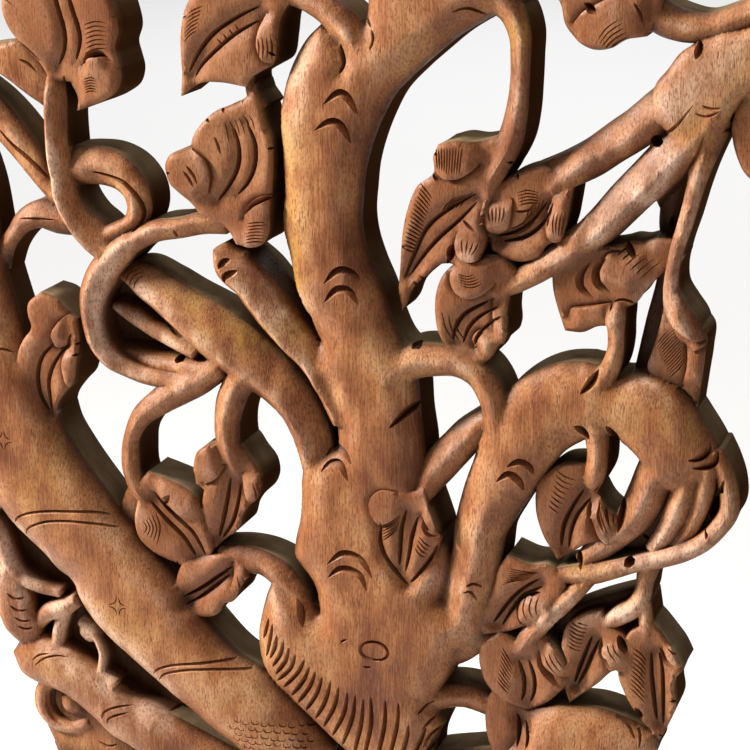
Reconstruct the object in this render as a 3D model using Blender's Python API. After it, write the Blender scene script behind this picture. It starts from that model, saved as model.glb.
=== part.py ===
"""Carved wall panel: one hardwood board, pierced and carved in deep relief with a forking tree trunk,
curling vines, lobed leaves and a thick banded limb. Sizes are written in millimetres; each mesh is in metres.

X runs to the viewer's right, Z up, and the flat back lies on the plane Y = 0 with the carving towards -Y.
The origin is on the back, behind the trunk. Every form stands on the back with upright sawn walls and a
carved crown: a vine follows a route, and a plate fills an outline.
"""

import math

import bmesh
import bpy
from mathutils import Vector
from mathutils.bvhtree import BVHTree
from mathutils.geometry import delaunay_2d_cdt

MILLIMETRE = 0.001
THICKNESS = 46.0
BOARD_X = (-300.0, 265.0)
BOARD_Z = (-312.0, 262.0)
BEHIND = 4.0  # how far the forms run past the back before the board's block trims them
STEP = 0.02  # each form is this much further back and aside than the last, so no two walls coincide
NEAR_FLAT = 5.0  # degrees between faces that become one facet
GRID = 23.0  # spacing of the points inside a plate's top
CLEAR_OF_EDGE = 6.0

# A vine's crown: how far its flat leans aside, half the flat's share of the width, and how far its sides drop.
LEAN_SHIFT = 0.4
FLAT_SHARE = 0.5
CROWN_DROP = 0.75
MOST_CROWN_DROP = 11.0

WOOD_COLOUR = (0.42, 0.21, 0.11, 1.0)
WOOD_ROUGHNESS = 0.55

# A vine's route: x, z, half width, crown height above the back.
VINES = {
    "branchTopLeft": [
        (-4, 208, 12, 42), (-12, 222, 12, 45), (-24, 237, 10.5, 44), (-41, 247, 8.5, 42),
        (-60, 254, 9, 40), (-84, 262, 10, 38), (-110, 275, 10, 38),
    ],
    "hookBranch": [
        (58, 252, 12, 44), (76, 255, 11, 44), (90, 247, 9, 44), (97.5, 232, 7.5, 44),
        (98.5, 215, 6.5, 44), (98, 197, 6.5, 44), (96, 180, 7.5, 44), (92, 164, 8.5, 44),
        (85, 150, 8.5, 44), (78, 138, 7, 43), (72, 129, 4, 40),
    ],
    "stubLeft": [
        (-108, 80, 6, 38), (-103, 70, 12, 42), (-93, 54, 12, 43), (-79, 38, 11.5, 44),
        (-64, 26, 12, 45), (-50, 15, 12, 45), (-36, 2, 12, 43),
    ],
    "limbLeftUp": [
        (-184, 57, 5, 30), (-173, 55, 11, 34), (-155, 46, 14, 38), (-138, 36, 15.5, 41),
        (-120, 25, 18.5, 43), (-101, 13, 20, 44), (-84, 2, 19, 44), (-67, -10, 17.5, 44),
        (-54, -25, 15, 44), (-45, -42, 14, 44), (-40, -60, 13, 43), (-37, -84, 12, 40),
    ],
    "cCurl": [
        (-104, 96, 7, 36), (-119, 96, 7.5, 38), (-136, 92, 7, 40), (-153, 89, 7.5, 41),
        (-170, 81, 8, 42), (-183, 70, 9.5, 43), (-195, 56, 10.5, 43), (-202, 41, 9, 43),
        (-203, 24, 7, 42), (-200, 9, 6.5, 41), (-191, -3, 6.5, 40), (-176, -11, 6, 38),
        (-158, -15, 6, 38), (-140, -15, 6, 38), (-122, -10, 6, 38),
    ],
    "spurUpper": [
        (-191, 32, 3, 26), (-176, 25, 5, 29), (-160, 18, 5.5, 32), (-144, 12, 5.5, 35), (-128, 6, 5, 38),
    ],
    "spurLower": [
        (-186, -2, 4, 26), (-168, -5, 6, 30), (-150, -7, 7, 34), (-132, -6, 6, 37), (-116, -4, 5, 39),
    ],
    "sickleLeft": [
        (-110, -3, 8, 40), (-124, -12, 11, 41), (-139, -21, 11, 41), (-154, -31, 9.5, 41),
        (-168, -43, 7.5, 41),
        (-175, -57, 6, 40), (-177.5, -71, 7, 39), (-177, -85, 7, 38), (-172, -98, 7, 37),
        (-162, -110, 5, 36),
    ],
    "stubDownLeft": [
        (-84, -2, 6, 43), (-94, -11, 10, 43), (-101, -24, 10.5, 43), (-104, -38, 9.5, 43),
        (-104, -51, 9, 43), (-101, -63, 7.5, 43), (-98, -74, 4, 40),
    ],
    "stemVertical": [
        (-225, 192, 6, 36), (-225, 176, 8.5, 40), (-225, 158, 8.5, 41), (-224, 140, 8.5, 42),
        (-222, 122, 9, 42), (-218, 105, 9.5, 42), (-210, 92, 10.5, 42), (-199, 81, 12, 42),
        (-188, 70, 9, 41),
    ],
    "ringCurl": [
        (-220, 128, 14, 36), (-205, 130, 13.5, 38), (-190, 129.5, 13, 39), (-177, 124.5, 11.5, 40),
        (-168.5, 115, 10, 40), (-166.5, 102, 9, 39), (-171, 92, 8, 38), (-183, 86, 7, 38), (-195, 81, 7, 37),
    ],
    "diagonalLeft": [(-296, 178, 12, 36), (-277, 164, 12.5, 37), (-263, 151.5, 11.5, 38),
    (-250, 137, 10, 38),
                     (-237, 121, 8.5, 38), (-225, 106, 7, 37)],
    "hookLeft": [(-214, 93, 13, 37), (-229, 93, 12.5, 37), (-242, 94, 10, 37), (-253, 89, 8, 36),
    (-261, 80, 6, 34),
                 (-270, 69, 6.5, 30), (-277, 52, 7, 26)],
    "stemSecond": [(-80, 214, 4.5, 34), (-85, 200, 3.5, 34), (-84.5, 188, 4, 35), (-79, 176, 6, 36)],
    "branchRight1": [
        (232, 218, 25, 42), (216, 209, 19, 42), (202, 199, 15, 41), (187, 188, 13, 40), (172, 174.5, 13, 39),
        (156, 163, 12.5, 38), (141, 152, 12, 37), (124.5, 144, 10.5, 37), (106, 138, 8, 34),
    ],
    "branchRight2": [
        (220, 188, 14, 43), (208, 172, 14, 43), (194, 158, 14, 43), (181, 144, 13.5, 42), (167, 129, 13, 41),
        (152.5, 112.5, 12, 40), (137.5, 99, 10.5, 40), (122, 88, 9, 40), (106, 77, 8, 40),
        (93, 69, 6.5, 40), (84, 63, 3, 38),
    ],
    "stemRight": [
        (223, 178, 8, 40), (215, 158, 7.5, 41), (210.5, 138, 5.5, 41), (206, 119, 5, 41),
        (201, 100, 4.5, 41),
        (198.5, 85, 4.5, 41), (198.5, 74, 5.5, 41), (202, 62, 8.5, 42), (209, 50, 9.5, 42), (217, 39, 5, 40),
    ],
    "stemRightShelf": [(204, 150, 5, 17), (195, 132, 8, 17), (193, 113, 9, 17), (196, 94, 9, 17)],
    "stemTopRight": [
        (174, 262, 9, 38), (184, 245.5, 11, 39), (198, 240, 10.5, 39), (214, 239, 9, 39), (230, 244, 9, 39),
        (248, 253, 9, 39), (276, 268, 9, 38),
    ],
    "knobBranch": [
        (165, 66, 4, 38), (164, 57, 6, 43), (164, 45, 5.5, 43), (164, 33, 5.5, 43), (161, 21, 6.5, 44),
        (155, 10, 7.5, 44), (150, 0, 7, 43), (146, -10, 4, 42),
    ],
    "limbRight": [
        (58, -182, 16, 40), (64, -160, 18, 43), (69, -138, 18, 44), (73, -118, 17.5, 44), (75, -99, 18, 44),
        (82, -79, 20.5, 44), (91, -59, 23, 44), (101, -37, 26, 44), (113.5, -19, 27.5, 44),
        (131, -7, 27.5, 44), (150, -2, 25, 44),
    ],
    "stubDownRight": [
        (149, -12, 7, 43), (153, -26, 8, 43), (154, -39, 7, 43), (153, -51, 7, 43), (150, -62, 5, 40),
    ],
    "finger1": [
        (200, -28, 12, 42), (193, -46, 13.5, 42), (186, -64, 13, 41), (179, -79, 12, 40),
        (169, -92, 9.5, 39),
        (157, -104, 8.5, 38), (144, -115, 6, 36),
    ],
    "finger2": [
        (214, -40, 8, 42), (211, -58, 8.5, 41), (206, -74, 8, 40), (200, -88, 7, 38), (191, -102, 5.5, 36),
    ],
    "finger3": [
        (226, -40, 6, 42), (224, -58, 6, 41), (220, -73, 5.5, 39), (214, -87, 5, 37), (205, -99, 4, 35),
    ],
    "loopVine": [
        (230, -30, 6, 40), (236, -42, 6, 41), (240, -56, 6.5, 41), (240.5, -69, 6.5, 41),
        (233.5, -82, 6, 41),
        (224.5, -92, 6, 41), (212.5, -100, 6, 41), (198, -106, 6, 41), (182, -111, 5.5, 41),
        (166, -117, 6.5, 41),
        (150, -122.5, 7.5, 40), (134, -125, 6, 39), (120, -128, 5, 37),
    ],
    "archBranch": [
        (3, -14, 5, 44), (12, 0, 9, 45), (26, 12, 12, 44), (43, 15, 11, 43), (60, 14, 9.5, 43),
        (72.5, 8, 9.5, 43),
        (81, -4, 9.5, 43), (85, -17, 9, 43), (84, -30, 8.5, 42), (78, -42, 6, 40),
    ],
    "archTail": [(80, -23, 8, 38), (68.5, -33, 10, 39), (57, -44.5, 12, 40), (47, -57, 12, 41),
    (38.5, -70, 10, 42),
                 (33, -83, 6, 43), (30, -96, 3, 42)],
    "spearBranch": [(150, -126, 5, 38), (141, -136, 6, 40), (131, -147, 6.5, 41), (121, -158, 6.5, 41),
                    (112, -169, 7, 41), (106, -179, 6, 40), (103, -188, 3, 37)],
    "sickleRight": [(189, -112, 8, 38), (187, -124, 6, 38), (185.5, -134, 6, 38), (180.5, -143, 6.5, 38),
                    (171, -150, 6.5, 38), (163, -156, 5, 37), (157, -161, 3, 35)],
    "dropRight": [(187, -138, 4.5, 36), (188.5, -150, 5, 37), (190, -163, 5.5, 37), (192, -176, 3, 35)],
    "twigRight": [(46, -198, 7, 36), (60, -190, 9, 36), (75, -181, 7.5, 35), (92, -176, 7, 34)],
    "twigLowRight": [
        (32, -238, 6, 36), (46, -226, 9.5, 36), (62, -223, 9, 35), (77, -226, 9, 34), (94, -234, 8, 33),
    ],
    "twigLow": [(-114, -141, 8, 34), (-97, -141, 9.5, 35), (-80, -143, 9.5, 37), (-66, -150, 10, 40),
                (-54, -163, 8, 41), (-44, -182, 4, 41)],
    "arm": [(-290, -128, 5, 30), (-285, -146, 6, 31), (-280, -162, 6, 32), (-271, -175, 5, 31),
            (-256, -182, 4, 30), (-240, -185, 3, 28)],
    "foreleg": [(-260, -212, 5, 27), (-250, -201, 6.5, 30), (-238, -196, 7, 31), (-228, -190, 5, 29)],
    "shin": [(-238, -200, 5, 27), (-242, -212, 4.5, 28), (-244, -226, 5, 28)],
    "spike": [
        (-226, -206, 5, 24), (-214, -216, 3, 26), (-208, -228, 2.5, 28), (-208, -242, 3.5, 30),
        (-198, -250, 5, 33),
    ],
    "curl": [(-246, -252, 5, 28), (-257, -262, 5.5, 28), (-258, -276, 6, 28), (-249, -287, 5.5, 28),
             (-235, -290, 4.5, 27), (-222, -284, 3.5, 26)],
}

# How far a vine's crown leans to one side of its route, from -1 to 1; the rest are centred.
LEANS = {"stemVertical": 1.0, "cCurl": 0.5, "ringCurl": 0.3}

# A plate's outline, and its spine: x, z, crown height above the back.
PLATES = {
    "trunk": {
        "outline": [
            (-36, 232), (-46, 222), (-54, 209), (-61, 190), (-64, 172), (-63, 150), (-62, 122), (-62, 94),
            (-58, 76),
            (-52, 50), (-44, 36), (-38, 24), (-36, 5), (-31, -22), (-27, -49), (-45, -58), (-51, -72),
            (-52, -90),
            (-53, -105), (-57, -124), (-57, -133), (-51, -141), (-43, -152), (-39, -171), (-46, -165),
            (-60, -156),
            (-73, -151), (-78, -163), (-82.5, -179), (-85, -194), (-84, -208), (-80, -220), (-72, -231),
            (-61, -241),
            (-50, -251), (-38, -262), (-26, -273), (-10, -283), (10, -290), (30, -288), (42, -276),
            (45, -258),
            (51, -243), (44, -229), (50, -216), (57, -204), (62, -190), (69, -177), (75, -163),
            (58, -156), (50, -151),
            (53, -140), (55, -127), (53, -115), (49, -105), (45, -94), (41, -83), (38, -72), (37, -60),
            (36, -45), (33, -25),
            (31, 0), (27, 18), (19, 28), (12.5, 42), (6.5, 60), (-1, 77), (-6, 92), (-8, 106), (-7, 122),
            (-5, 140),
            (-1, 155), (6, 173), (14, 188), (28, 203), (42, 215.5), (57, 228), (73, 238), (100, 252),
            (100, 275),
            (-6, 275), (-4, 250), (-6, 236), (-18, 226),
        ],
        "spine": [
            (20, 240, 45), (-24, 190, 46), (-34, 120, 46), (-14, 0, 46), (-5, -100, 46), (0, -190, 46),
            (5, -280, 40),
        ],
        "shoulder": 25, "drop": 16,
    },
    "webStub": {
        "outline": [
            (-108, 82), (-97, 85), (-85, 78), (-76, 71), (-66, 60), (-52, 46), (-36, 22), (-60, 26),
            (-90, 50),
        ],
        "spine": [(-80, 70, 15), (-50, 40, 15)], "shoulder": 2, "drop": 1,
    },
    "floorCurl": {
        "outline": [
            (-200, 40), (-184, 62), (-160, 48), (-130, 26), (-114, 4), (-130, -14), (-160, -14),
            (-190, -4), (-201, 14),
        ],
        "spine": [(-180, 30, 11), (-140, 0, 11)], "shoulder": 2, "drop": 1,
    },
    "leafTopLeft": {
        "outline": [
            (-262, 280), (-258, 250), (-258, 232), (-252, 219), (-243, 209), (-234, 200), (-228, 188),
            (-212, 187),
            (-207, 176), (-208, 168), (-196, 172), (-185, 177), (-176, 184), (-173, 195), (-175, 204),
            (-177, 212), (-174, 223), (-176.5, 237), (-182, 250), (-189, 265), (-190, 280),
        ],
        "spine": [(-222, 186, 36), (-216, 204, 42), (-214, 225, 44), (-216, 255, 42), (-218, 280, 40)],
        "shoulder": 9, "drop": 5,
    },
    "lobeTopLeft": {
        "outline": [(-292, 206), (-276, 209), (-262, 211), (-250, 214), (-240, 208), (-230, 194),
        (-226, 182),
                    (-234, 169), (-247, 177), (-263, 188), (-280, 197), (-292, 202)],
        "spine": [(-230, 186, 34), (-262, 202, 36), (-290, 206, 32)], "shoulder": 8, "drop": 7,
    },
    "leafTopCentre": {
        "outline": [(-133, 181), (-131.5, 205), (-130.5, 224), (-127.5, 238), (-121, 250), (-104, 264),
        (-60, 280), (-46, 262),
                    (-54, 248), (-60, 236), (-62, 222), (-66, 206), (-74, 201), (-82, 196), (-86, 190),
                    (-104, 192), (-119, 190.5)],
        "spine": [(-56, 248, 40), (-78, 236, 42), (-96, 226, 43), (-112, 210, 41), (-128, 188, 37)],
        "shoulder": 8, "drop": 5,
    },
    "leafSecond": {
        "outline": [
            (-103, 95), (-111, 98), (-120, 103), (-126, 110), (-135, 117.5), (-142, 126), (-144, 135),
            (-139, 143),
            (-126, 148), (-123, 157), (-117, 165), (-107, 173.5), (-94, 178.5), (-86, 184), (-81, 192),
            (-77, 180), (-73, 167),
            (-68, 154), (-67, 140), (-68, 124), (-69, 108), (-70, 94), (-75, 86), (-84, 83), (-95, 84),
        ],
        "spine": [(-102, 98, 38), (-94, 116, 41), (-89, 136, 42), (-89, 156, 41), (-86, 184, 36)],
        "shoulder": 9, "drop": 6,
    },
    "leafCentreRight": {
        "outline": [
            (19, 46), (17, 62), (19, 80), (21, 98), (25, 116), (32, 132), (42.5, 141), (43, 152),
            (46.5, 160), (57, 163),
            (70, 162.5), (82, 166), (94, 174), (98, 160), (92, 145), (82, 128), (76, 112), (78, 98),
            (73, 85), (66, 80),
            (56, 81), (49, 81), (37, 72), (27, 62), (22, 50),
        ],
        "spine": [(21, 52, 34), (36, 92, 40), (52, 116, 43), (72, 130, 43),
        (90, 150, 40)], "shoulder": 9, "drop": 6,
    },
    "leafCentreFar": {
        "outline": [(78, 126), (88, 138), (102, 145), (117, 147), (127, 140), (134, 136), (132, 122),
        (129.5, 109), (126, 101),
                    (118, 98), (112, 90), (102, 86), (90, 87), (80, 92), (76, 108)],
        "spine": [(80, 98, 38), (100, 108, 40), (116, 124, 40), (128, 138, 36)], "shoulder": 8, "drop": 6,
    },
    "leafMid": {
        "outline": [(44, 60), (43.5, 46), (45, 35), (51, 23), (61, 16), (74, 15), (83, 22), (87, 29),
        (91, 32), (93, 38),
                    (92.5, 50), (94, 64), (98, 80), (88, 88), (74, 88), (60, 84), (49, 74)],
        "spine": [(92, 68, 40), (79, 58, 42), (65, 46, 41), (56, 26, 37)], "shoulder": 9, "drop": 7,
    },
    "leafMidRight": {
        "outline": [(120, 86), (122, 66), (126, 53), (130, 42), (142, 42), (152, 47), (162, 48),
        (166, 58), (176, 64),
                    (183, 74), (192, 84), (200, 92), (198, 106), (187, 106), (178, 103), (170, 103),
                    (164, 101), (154, 99), (142, 97)],
        "spine": [(164, 62, 38), (158, 74, 38), (146, 84, 37), (182, 90, 35)], "shoulder": 7, "drop": 6,
    },
    "leafRight": {
        "outline": [(194, 68), (191, 50), (187, 34), (184, 20), (188, 13), (202, 11), (210, 6), (217, -4),
        (219, 14),
                    (221, 32), (221, 48), (214, 56)],
        "spine": [(208, 52, 36), (202, 32, 34), (200, 14, 34)], "shoulder": 7, "drop": 5,
    },
    "shelfRight": {
        "outline": [
            (202, 102), (188, 100), (184, 72), (179, 50), (175, 30), (172, 14), (186, 10), (196, 20),
            (198, 60),
        ],
        "spine": [(190, 90, 17), (182, 30, 17)], "shoulder": 3, "drop": 2,
    },
    "junctionRight": {
        "outline": [(199, 224), (208, 230), (222, 236), (240, 241), (262, 252), (282, 262), (282, 206),
        (262, 208), (250, 205),
                    (239, 197), (230, 182), (224, 165), (211, 156), (196, 170), (184, 184), (184, 204),
                    (191, 213)],
        "spine": [(280, 232, 42), (240, 216, 43), (214, 190, 43), (212, 166, 42)], "shoulder": 12, "drop": 8,
    },
    "leafEdgeRight": {
        "outline": [
            (247, 207), (236, 194), (232, 179), (235, 163), (242, 150), (252, 143), (282, 140), (282, 214),
        ],
        "spine": [(250, 160, 38), (258, 205, 38)], "shoulder": 8, "drop": 6,
    },
    "leafTopRight": {
        "outline": [(112, 280), (117, 262), (123, 250), (126, 238), (133, 229.5), (144, 223.5),
        (156, 225), (166, 231), (178, 233),
                    (186, 250), (184, 280)],
        "spine": [(178, 250, 40), (156, 244, 41), (138, 234, 37)], "shoulder": 9, "drop": 6,
    },
    "hood": {
        "outline": [(142, 22), (152, 21), (166, 15), (180, 17), (198, 13), (212, 3), (222, -10.5),
        (231.5, -25), (239, -40), (245, -54),
                    (241, -58), (233, -46), (222, -54), (206, -60), (190, -56), (182, -42), (172, -32),
                    (162, -26), (148, -27),
                    (134, -35), (124, -20), (130, 0)],
        "spine": [(140, -4, 44), (178, -8, 45), (210, -20, 45), (234, -40, 42)], "shoulder": 20, "drop": 12,
    },
    "fingerWeb": {
        "outline": [(186, -40), (178, -66), (168, -84), (148, -106), (162, -108), (174, -105),
        (186, -106), (212, -96),
                    (226, -85), (236, -66), (240, -44), (215, -40)],
        "spine": [(210, -60, 25), (180, -95, 23)], "shoulder": 2, "drop": 1,
    },
    "leafInnerRight": {
        "outline": [(114, -64), (113, -80), (117, -96), (127.5, -116), (139, -108), (147, -102),
        (158, -98), (167, -93),
                    (169, -81), (160, -74), (153, -62), (146, -46), (128, -49)],
        "spine": [(151, -56, 36), (138, -76, 38), (132, -92, 38), (129, -111, 34)], "shoulder": 7, "drop": 6,
    },
    "leafTrunk": {
        "outline": [(4, -80), (2, -88), (6, -98), (9, -103), (9, -114), (12, -123), (18, -131),
        (27, -141), (34, -131),
                    (41, -123), (47, -115), (49, -105), (46, -95), (42, -84), (38, -72), (30, -75),
                    (20, -75), (11, -77)],
        "spine": [(32, -76, 44), (30, -98, 45), (26, -122, 44), (26, -139, 42)], "shoulder": 6, "drop": 4,
    },
    "leafSpearLeft": {
        "outline": [(89, -124), (95, -114), (112, -119), (122, -118), (132, -124), (135, -132),
        (130, -141), (122, -151),
                    (113, -161), (104, -165), (94, -170), (78, -174), (76, -167), (81, -151), (86, -137)],
        "spine": [(126, -128, 38), (108, -134, 40), (94, -150, 39),
        (79, -171, 36)], "shoulder": 7, "drop": 5,
    },
    "leafLowCentre": {
        "outline": [(76, -180), (90, -170), (108, -176), (121, -169), (131, -178), (138, -190),
        (137, -201), (130, -211),
                    (120, -220), (108, -226), (95, -221), (82, -211), (76, -195)],
        "spine": [(104, -180, 37), (106, -200, 38), (107, -223, 35)], "shoulder": 8, "drop": 6,
    },
    "leafLowest": {
        "outline": [(81, -222), (85, -213), (98, -220), (110, -226), (122, -221), (128, -228),
        (123, -241), (119, -256),
                    (110, -270), (94, -270), (84, -256), (80, -240)],
        "spine": [(108, -224, 33), (104, -244, 35), (104, -268, 33)], "shoulder": 7, "drop": 5,
    },
    "shelfLowRight": {
        "outline": [
            (124, -172), (128, -160), (137, -152.5), (152, -144.5), (170, -137), (188, -131), (189, -150),
            (178, -166), (150, -174),
        ],
        "spine": [(130, -166, 21), (180, -142, 21)], "shoulder": 3, "drop": 2,
    },
    "leafLowMid": {
        "outline": [(136, -160), (147, -151), (158, -148), (166, -157), (176, -164), (180, -176),
        (176, -187), (168, -189),
                    (158, -199), (148, -208), (138, -217), (134, -200), (137, -186), (133, -174)],
        "spine": [(158, -154, 36), (152, -172, 38), (145, -192, 37),
        (138, -213, 34)], "shoulder": 7, "drop": 5,
    },
    "leafLowRight": {
        "outline": [(178, -160), (174, -174), (171, -188), (176, -203), (185, -218), (200, -236),
        (206.5, -222), (211, -208),
                    (209.5, -196), (210, -189), (215.5, -181), (211, -172), (204, -163), (198, -156),
                    (192, -150), (186, -154)],
        "spine": [(191, -158, 36), (195, -180, 38), (199, -205, 38),
        (199, -232, 34)], "shoulder": 7, "drop": 5,
    },
    "limbBottomRight": {
        "outline": [(38, -269), (70, -261), (96, -256), (108, -234), (120, -222), (130, -218),
        (142, -218), (158, -218),
                    (172, -221), (186, -226), (198, -231), (199.5, -242), (191, -254), (176, -267),
                    (160, -284),
                    (130, -298), (90, -314), (-110, -330), (-110, -300), (-60, -285), (0, -290)],
        "spine": [(-90, -310, 38), (20, -300, 40), (100, -278, 43), (156, -248, 44), (192, -246, 42)],
        "shoulder": 22, "drop": 14,
    },
    "leafLeft": {
        "outline": [(-250, 31), (-240, 41), (-229, 38), (-220, 29), (-213, 24), (-212, 10), (-213, -8),
        (-216, -21), (-224, -30),
                    (-231, -40), (-233, -52), (-231, -68), (-240, -58), (-249, -46), (-255, -33),
                    (-259, -18), (-259, -5),
                    (-254, 6), (-248, 15), (-250, 23)],
        "spine": [(-224, 18, 38), (-234, 0, 41), (-242, -20, 41), (-242, -46, 39),
        (-232, -65, 36)], "shoulder": 8, "drop": 6,
    },
    "limbLeft": {
        "outline": [
            (-310, 172), (-294, 150), (-281, 118), (-275, 84), (-270, 54), (-262, 26), (-254, 0),
            (-240, -24), (-233, -42),
            (-229, -56), (-219.5, -72), (-208, -88), (-197, -102), (-186, -118), (-172, -132),
            (-158, -146), (-144, -160),
            (-132, -177), (-119.5, -192), (-100.5, -210.5), (-80, -222), (-50, -250), (-30, -275),
            (-40, -330), (-70, -308),
            (-92, -292), (-108, -281), (-123, -270), (-138, -259), (-153, -248), (-168, -236),
            (-186, -222), (-202, -209),
            (-214, -196), (-222, -183), (-227, -171), (-237, -164), (-249, -152), (-261, -142),
            (-274, -130), (-285, -115),
            (-299, -90), (-330, -70), (-330, 150),
        ],
        "spine": [(-310, 120, 38), (-298, 40, 42), (-278, -40, 46), (-250, -95, 46), (-200, -160, 46),
        (-140, -218, 46),
                  (-80, -262, 44), (-40, -290, 38)],
        "shoulder": 30, "drop": 18,
    },
    "limbLow": {
        "outline": [(-281, -236), (-272, -224), (-257, -219), (-240, -224), (-226, -231), (-212, -239),
        (-198, -248),
                    (-183, -257), (-165, -263), (-145, -271), (-120, -281), (-100, -290), (-80, -300),
                    (-70, -328),
                    (-170, -334), (-182, -300), (-202, -289), (-214, -279), (-226, -270), (-240, -262),
                    (-258, -258), (-273, -251)],
        "spine": [(-262, -231, 32), (-230, -246, 36), (-190, -272, 37), (-140, -296, 37), (-110, -310, 36)],
        "shoulder": 17, "drop": 12,
    },
    "floorFigure": {
        "outline": [(-292, -132), (-270, -138), (-240, -160), (-222, -180), (-205, -206), (-180, -226),
        (-150, -250),
                    (-150, -268), (-190, -256), (-230, -236), (-268, -226), (-290, -200)],
        "spine": [(-270, -160, 10), (-170, -246, 10)], "shoulder": 2, "drop": 1,
    },
    "body": {
        "outline": [(-291, -168), (-279, -165), (-270, -174), (-264, -186), (-260, -200), (-256, -214),
        (-258, -226), (-271, -230),
                    (-283, -220), (-290, -204), (-292, -184)],
        "spine": [(-281, -172, 31), (-274, -196, 32), (-264, -220, 30)], "shoulder": 9, "drop": 9,
    },
    "knob": {
        "outline": [
            (-228, -208), (-222, -203), (-214, -205), (-210, -213), (-213, -221), (-221, -222), (-228, -216),
        ],
        "spine": [(-220, -212, 25), (-217, -214, 25)], "shoulder": 7, "drop": 6,
    },
    "ball": {
        "outline": [
            (-244, -266), (-238, -261), (-230, -262), (-225, -269), (-227, -277), (-235, -281), (-242, -276),
        ],
        "spine": [(-236, -270, 27), (-233, -271, 27)], "shoulder": 8, "drop": 7,
    },
    "robe": {
        "outline": [(-264, -272), (-254, -250), (-236, -254), (-214, -270), (-200, -282), (-182, -296),
        (-166, -332), (-247, -334),
                    (-250, -312), (-255, -299), (-261, -287)],
        "spine": [(-250, -270, 20), (-230, -296, 24), (-200, -306, 26)], "shoulder": 8, "drop": 6,
    },
    "leafLow": {
        "outline": [(-144, -176), (-145, -161), (-139, -147), (-124, -141), (-108, -138), (-97, -141),
        (-90, -151), (-96, -160),
                    (-102, -171), (-109, -174), (-112, -180), (-121, -185), (-134, -184)],
        "spine": [(-98, -146, 36), (-112, -155, 38), (-126, -166, 38),
        (-141, -177, 35)], "shoulder": 7, "drop": 5,
    },
    "leafSickle": {
        "outline": [(-172, -92), (-164, -82), (-150, -86), (-138, -90), (-127, -97), (-123, -112),
        (-117, -134), (-121, -146),
                    (-133, -151), (-147, -147), (-162, -141), (-172, -132), (-175, -118), (-173, -106)],
        "spine": [(-166, -98, 36), (-152, -114, 38), (-138, -130, 38),
        (-126, -147, 35)], "shoulder": 7, "drop": 5,
    },
    "dropletLeft": {
        "outline": [
            (-180, -92), (-187, -106), (-192, -117), (-190, -127), (-183, -131), (-176, -126),
            (-170, -112), (-170, -98),
        ],
        "spine": [(-176, -98, 32), (-183, -124, 28)], "shoulder": 5, "drop": 4,
    },
    "leafStub": {
        "outline": [(-104, -54), (-116, -56.5), (-126, -64), (-129, -76), (-128, -87), (-122, -91),
        (-124, -104), (-122, -118),
                    (-116.5, -135), (-107.5, -126), (-97, -117), (-94, -107), (-88, -98.5), (-83, -94),
                    (-79, -85), (-80.5, -74),
                    (-88, -64), (-95, -55)],
        "spine": [(-100, -66, 38), (-104, -86, 39), (-110, -108, 38),
        (-117, -131, 34)], "shoulder": 7, "drop": 6,
    },
}


# The leaves' grooved veins, each a route of x, z points; a leaf's pair runs down both sides of its midrib.
VEINS = [
    [(-226, 262), (-219, 243), (-213, 222), (-214, 209), (-220, 198)],
    [(-214, 258), (-209, 243), (-203, 225), (-202, 215), (-206, 202)],
    [(-127, 197), (-118, 212), (-106, 225), (-91, 235), (-75, 243)],
    [(-123, 194), (-117, 203), (-105, 214), (-91, 225), (-75, 234)],
    [(-95, 163), (-91, 150), (-92, 137), (-98, 125), (-107, 113)],
    [(-86, 166), (-80, 153), (-80, 139), (-85, 127), (-93, 118)],
    [(21, 68), (27, 82), (38, 104), (52, 117), (71, 129)],
    [(25, 71), (34, 84), (46, 98), (60, 111), (72, 124)],
    [(86, 102), (98, 109), (108, 120)],
    [(91, 98), (107, 105), (120, 121)],
    [(-230, 6), (-240, -5), (-244, -19), (-243, -33), (-238, -46)],
    [(-223, 3), (-232, -11), (-236, -23), (-236, -35), (-237, -46)],
    [(-164, -104), (-150, -117), (-138, -128), (-130, -142)],
    [(-160, -100), (-143, -114), (-131, -124), (-123, -141)],
    [(-102, -80), (-105, -97), (-109, -113), (-114, -127)],
    [(-95, -84), (-97, -98), (-102, -113), (-112, -128)],
    [(-140, -173), (-126, -164), (-113, -154), (-103, -146)],
    [(-138, -178), (-127, -171), (-115, -161), (-105, -152)],
    [(26, -88), (23, -101), (22, -115), (21, -129)],
    [(34, -92), (30, -107), (28, -120), (25, -133)],
    [(80, 59), (64, 49), (57, 38), (55, 29)],
    [(87, 56), (74, 48), (66, 39), (62, 28)],
    [(144, 86), (142, 78), (145, 71)],
    [(153, 93), (150, 85), (151, 77), (156, 71)],
    [(145, -64), (137, -78), (132, -91), (130, -107)],
    [(150, -69), (141, -82), (137, -94), (135, -107)],
    [(117, -129), (107, -136), (96, -148), (85, -165)],
    [(119, -134), (107, -142), (99, -152), (91, -166)],
    [(103, -189), (107, -201), (107, -212), (105, -220)],
    [(110, -188), (114, -200), (114, -211), (111, -220)],
    [(153, -166), (149, -178), (145, -190), (141, -203)],
    [(158, -168), (153, -180), (149, -191), (143, -204)],
    [(193, -172), (194, -187), (196, -204), (198, -222)],
    [(198, -171), (201, -184), (202, -202), (202, -224)],
]
VEIN_HALF, VEIN_DEPTH = 1.7, 2.6

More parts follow.
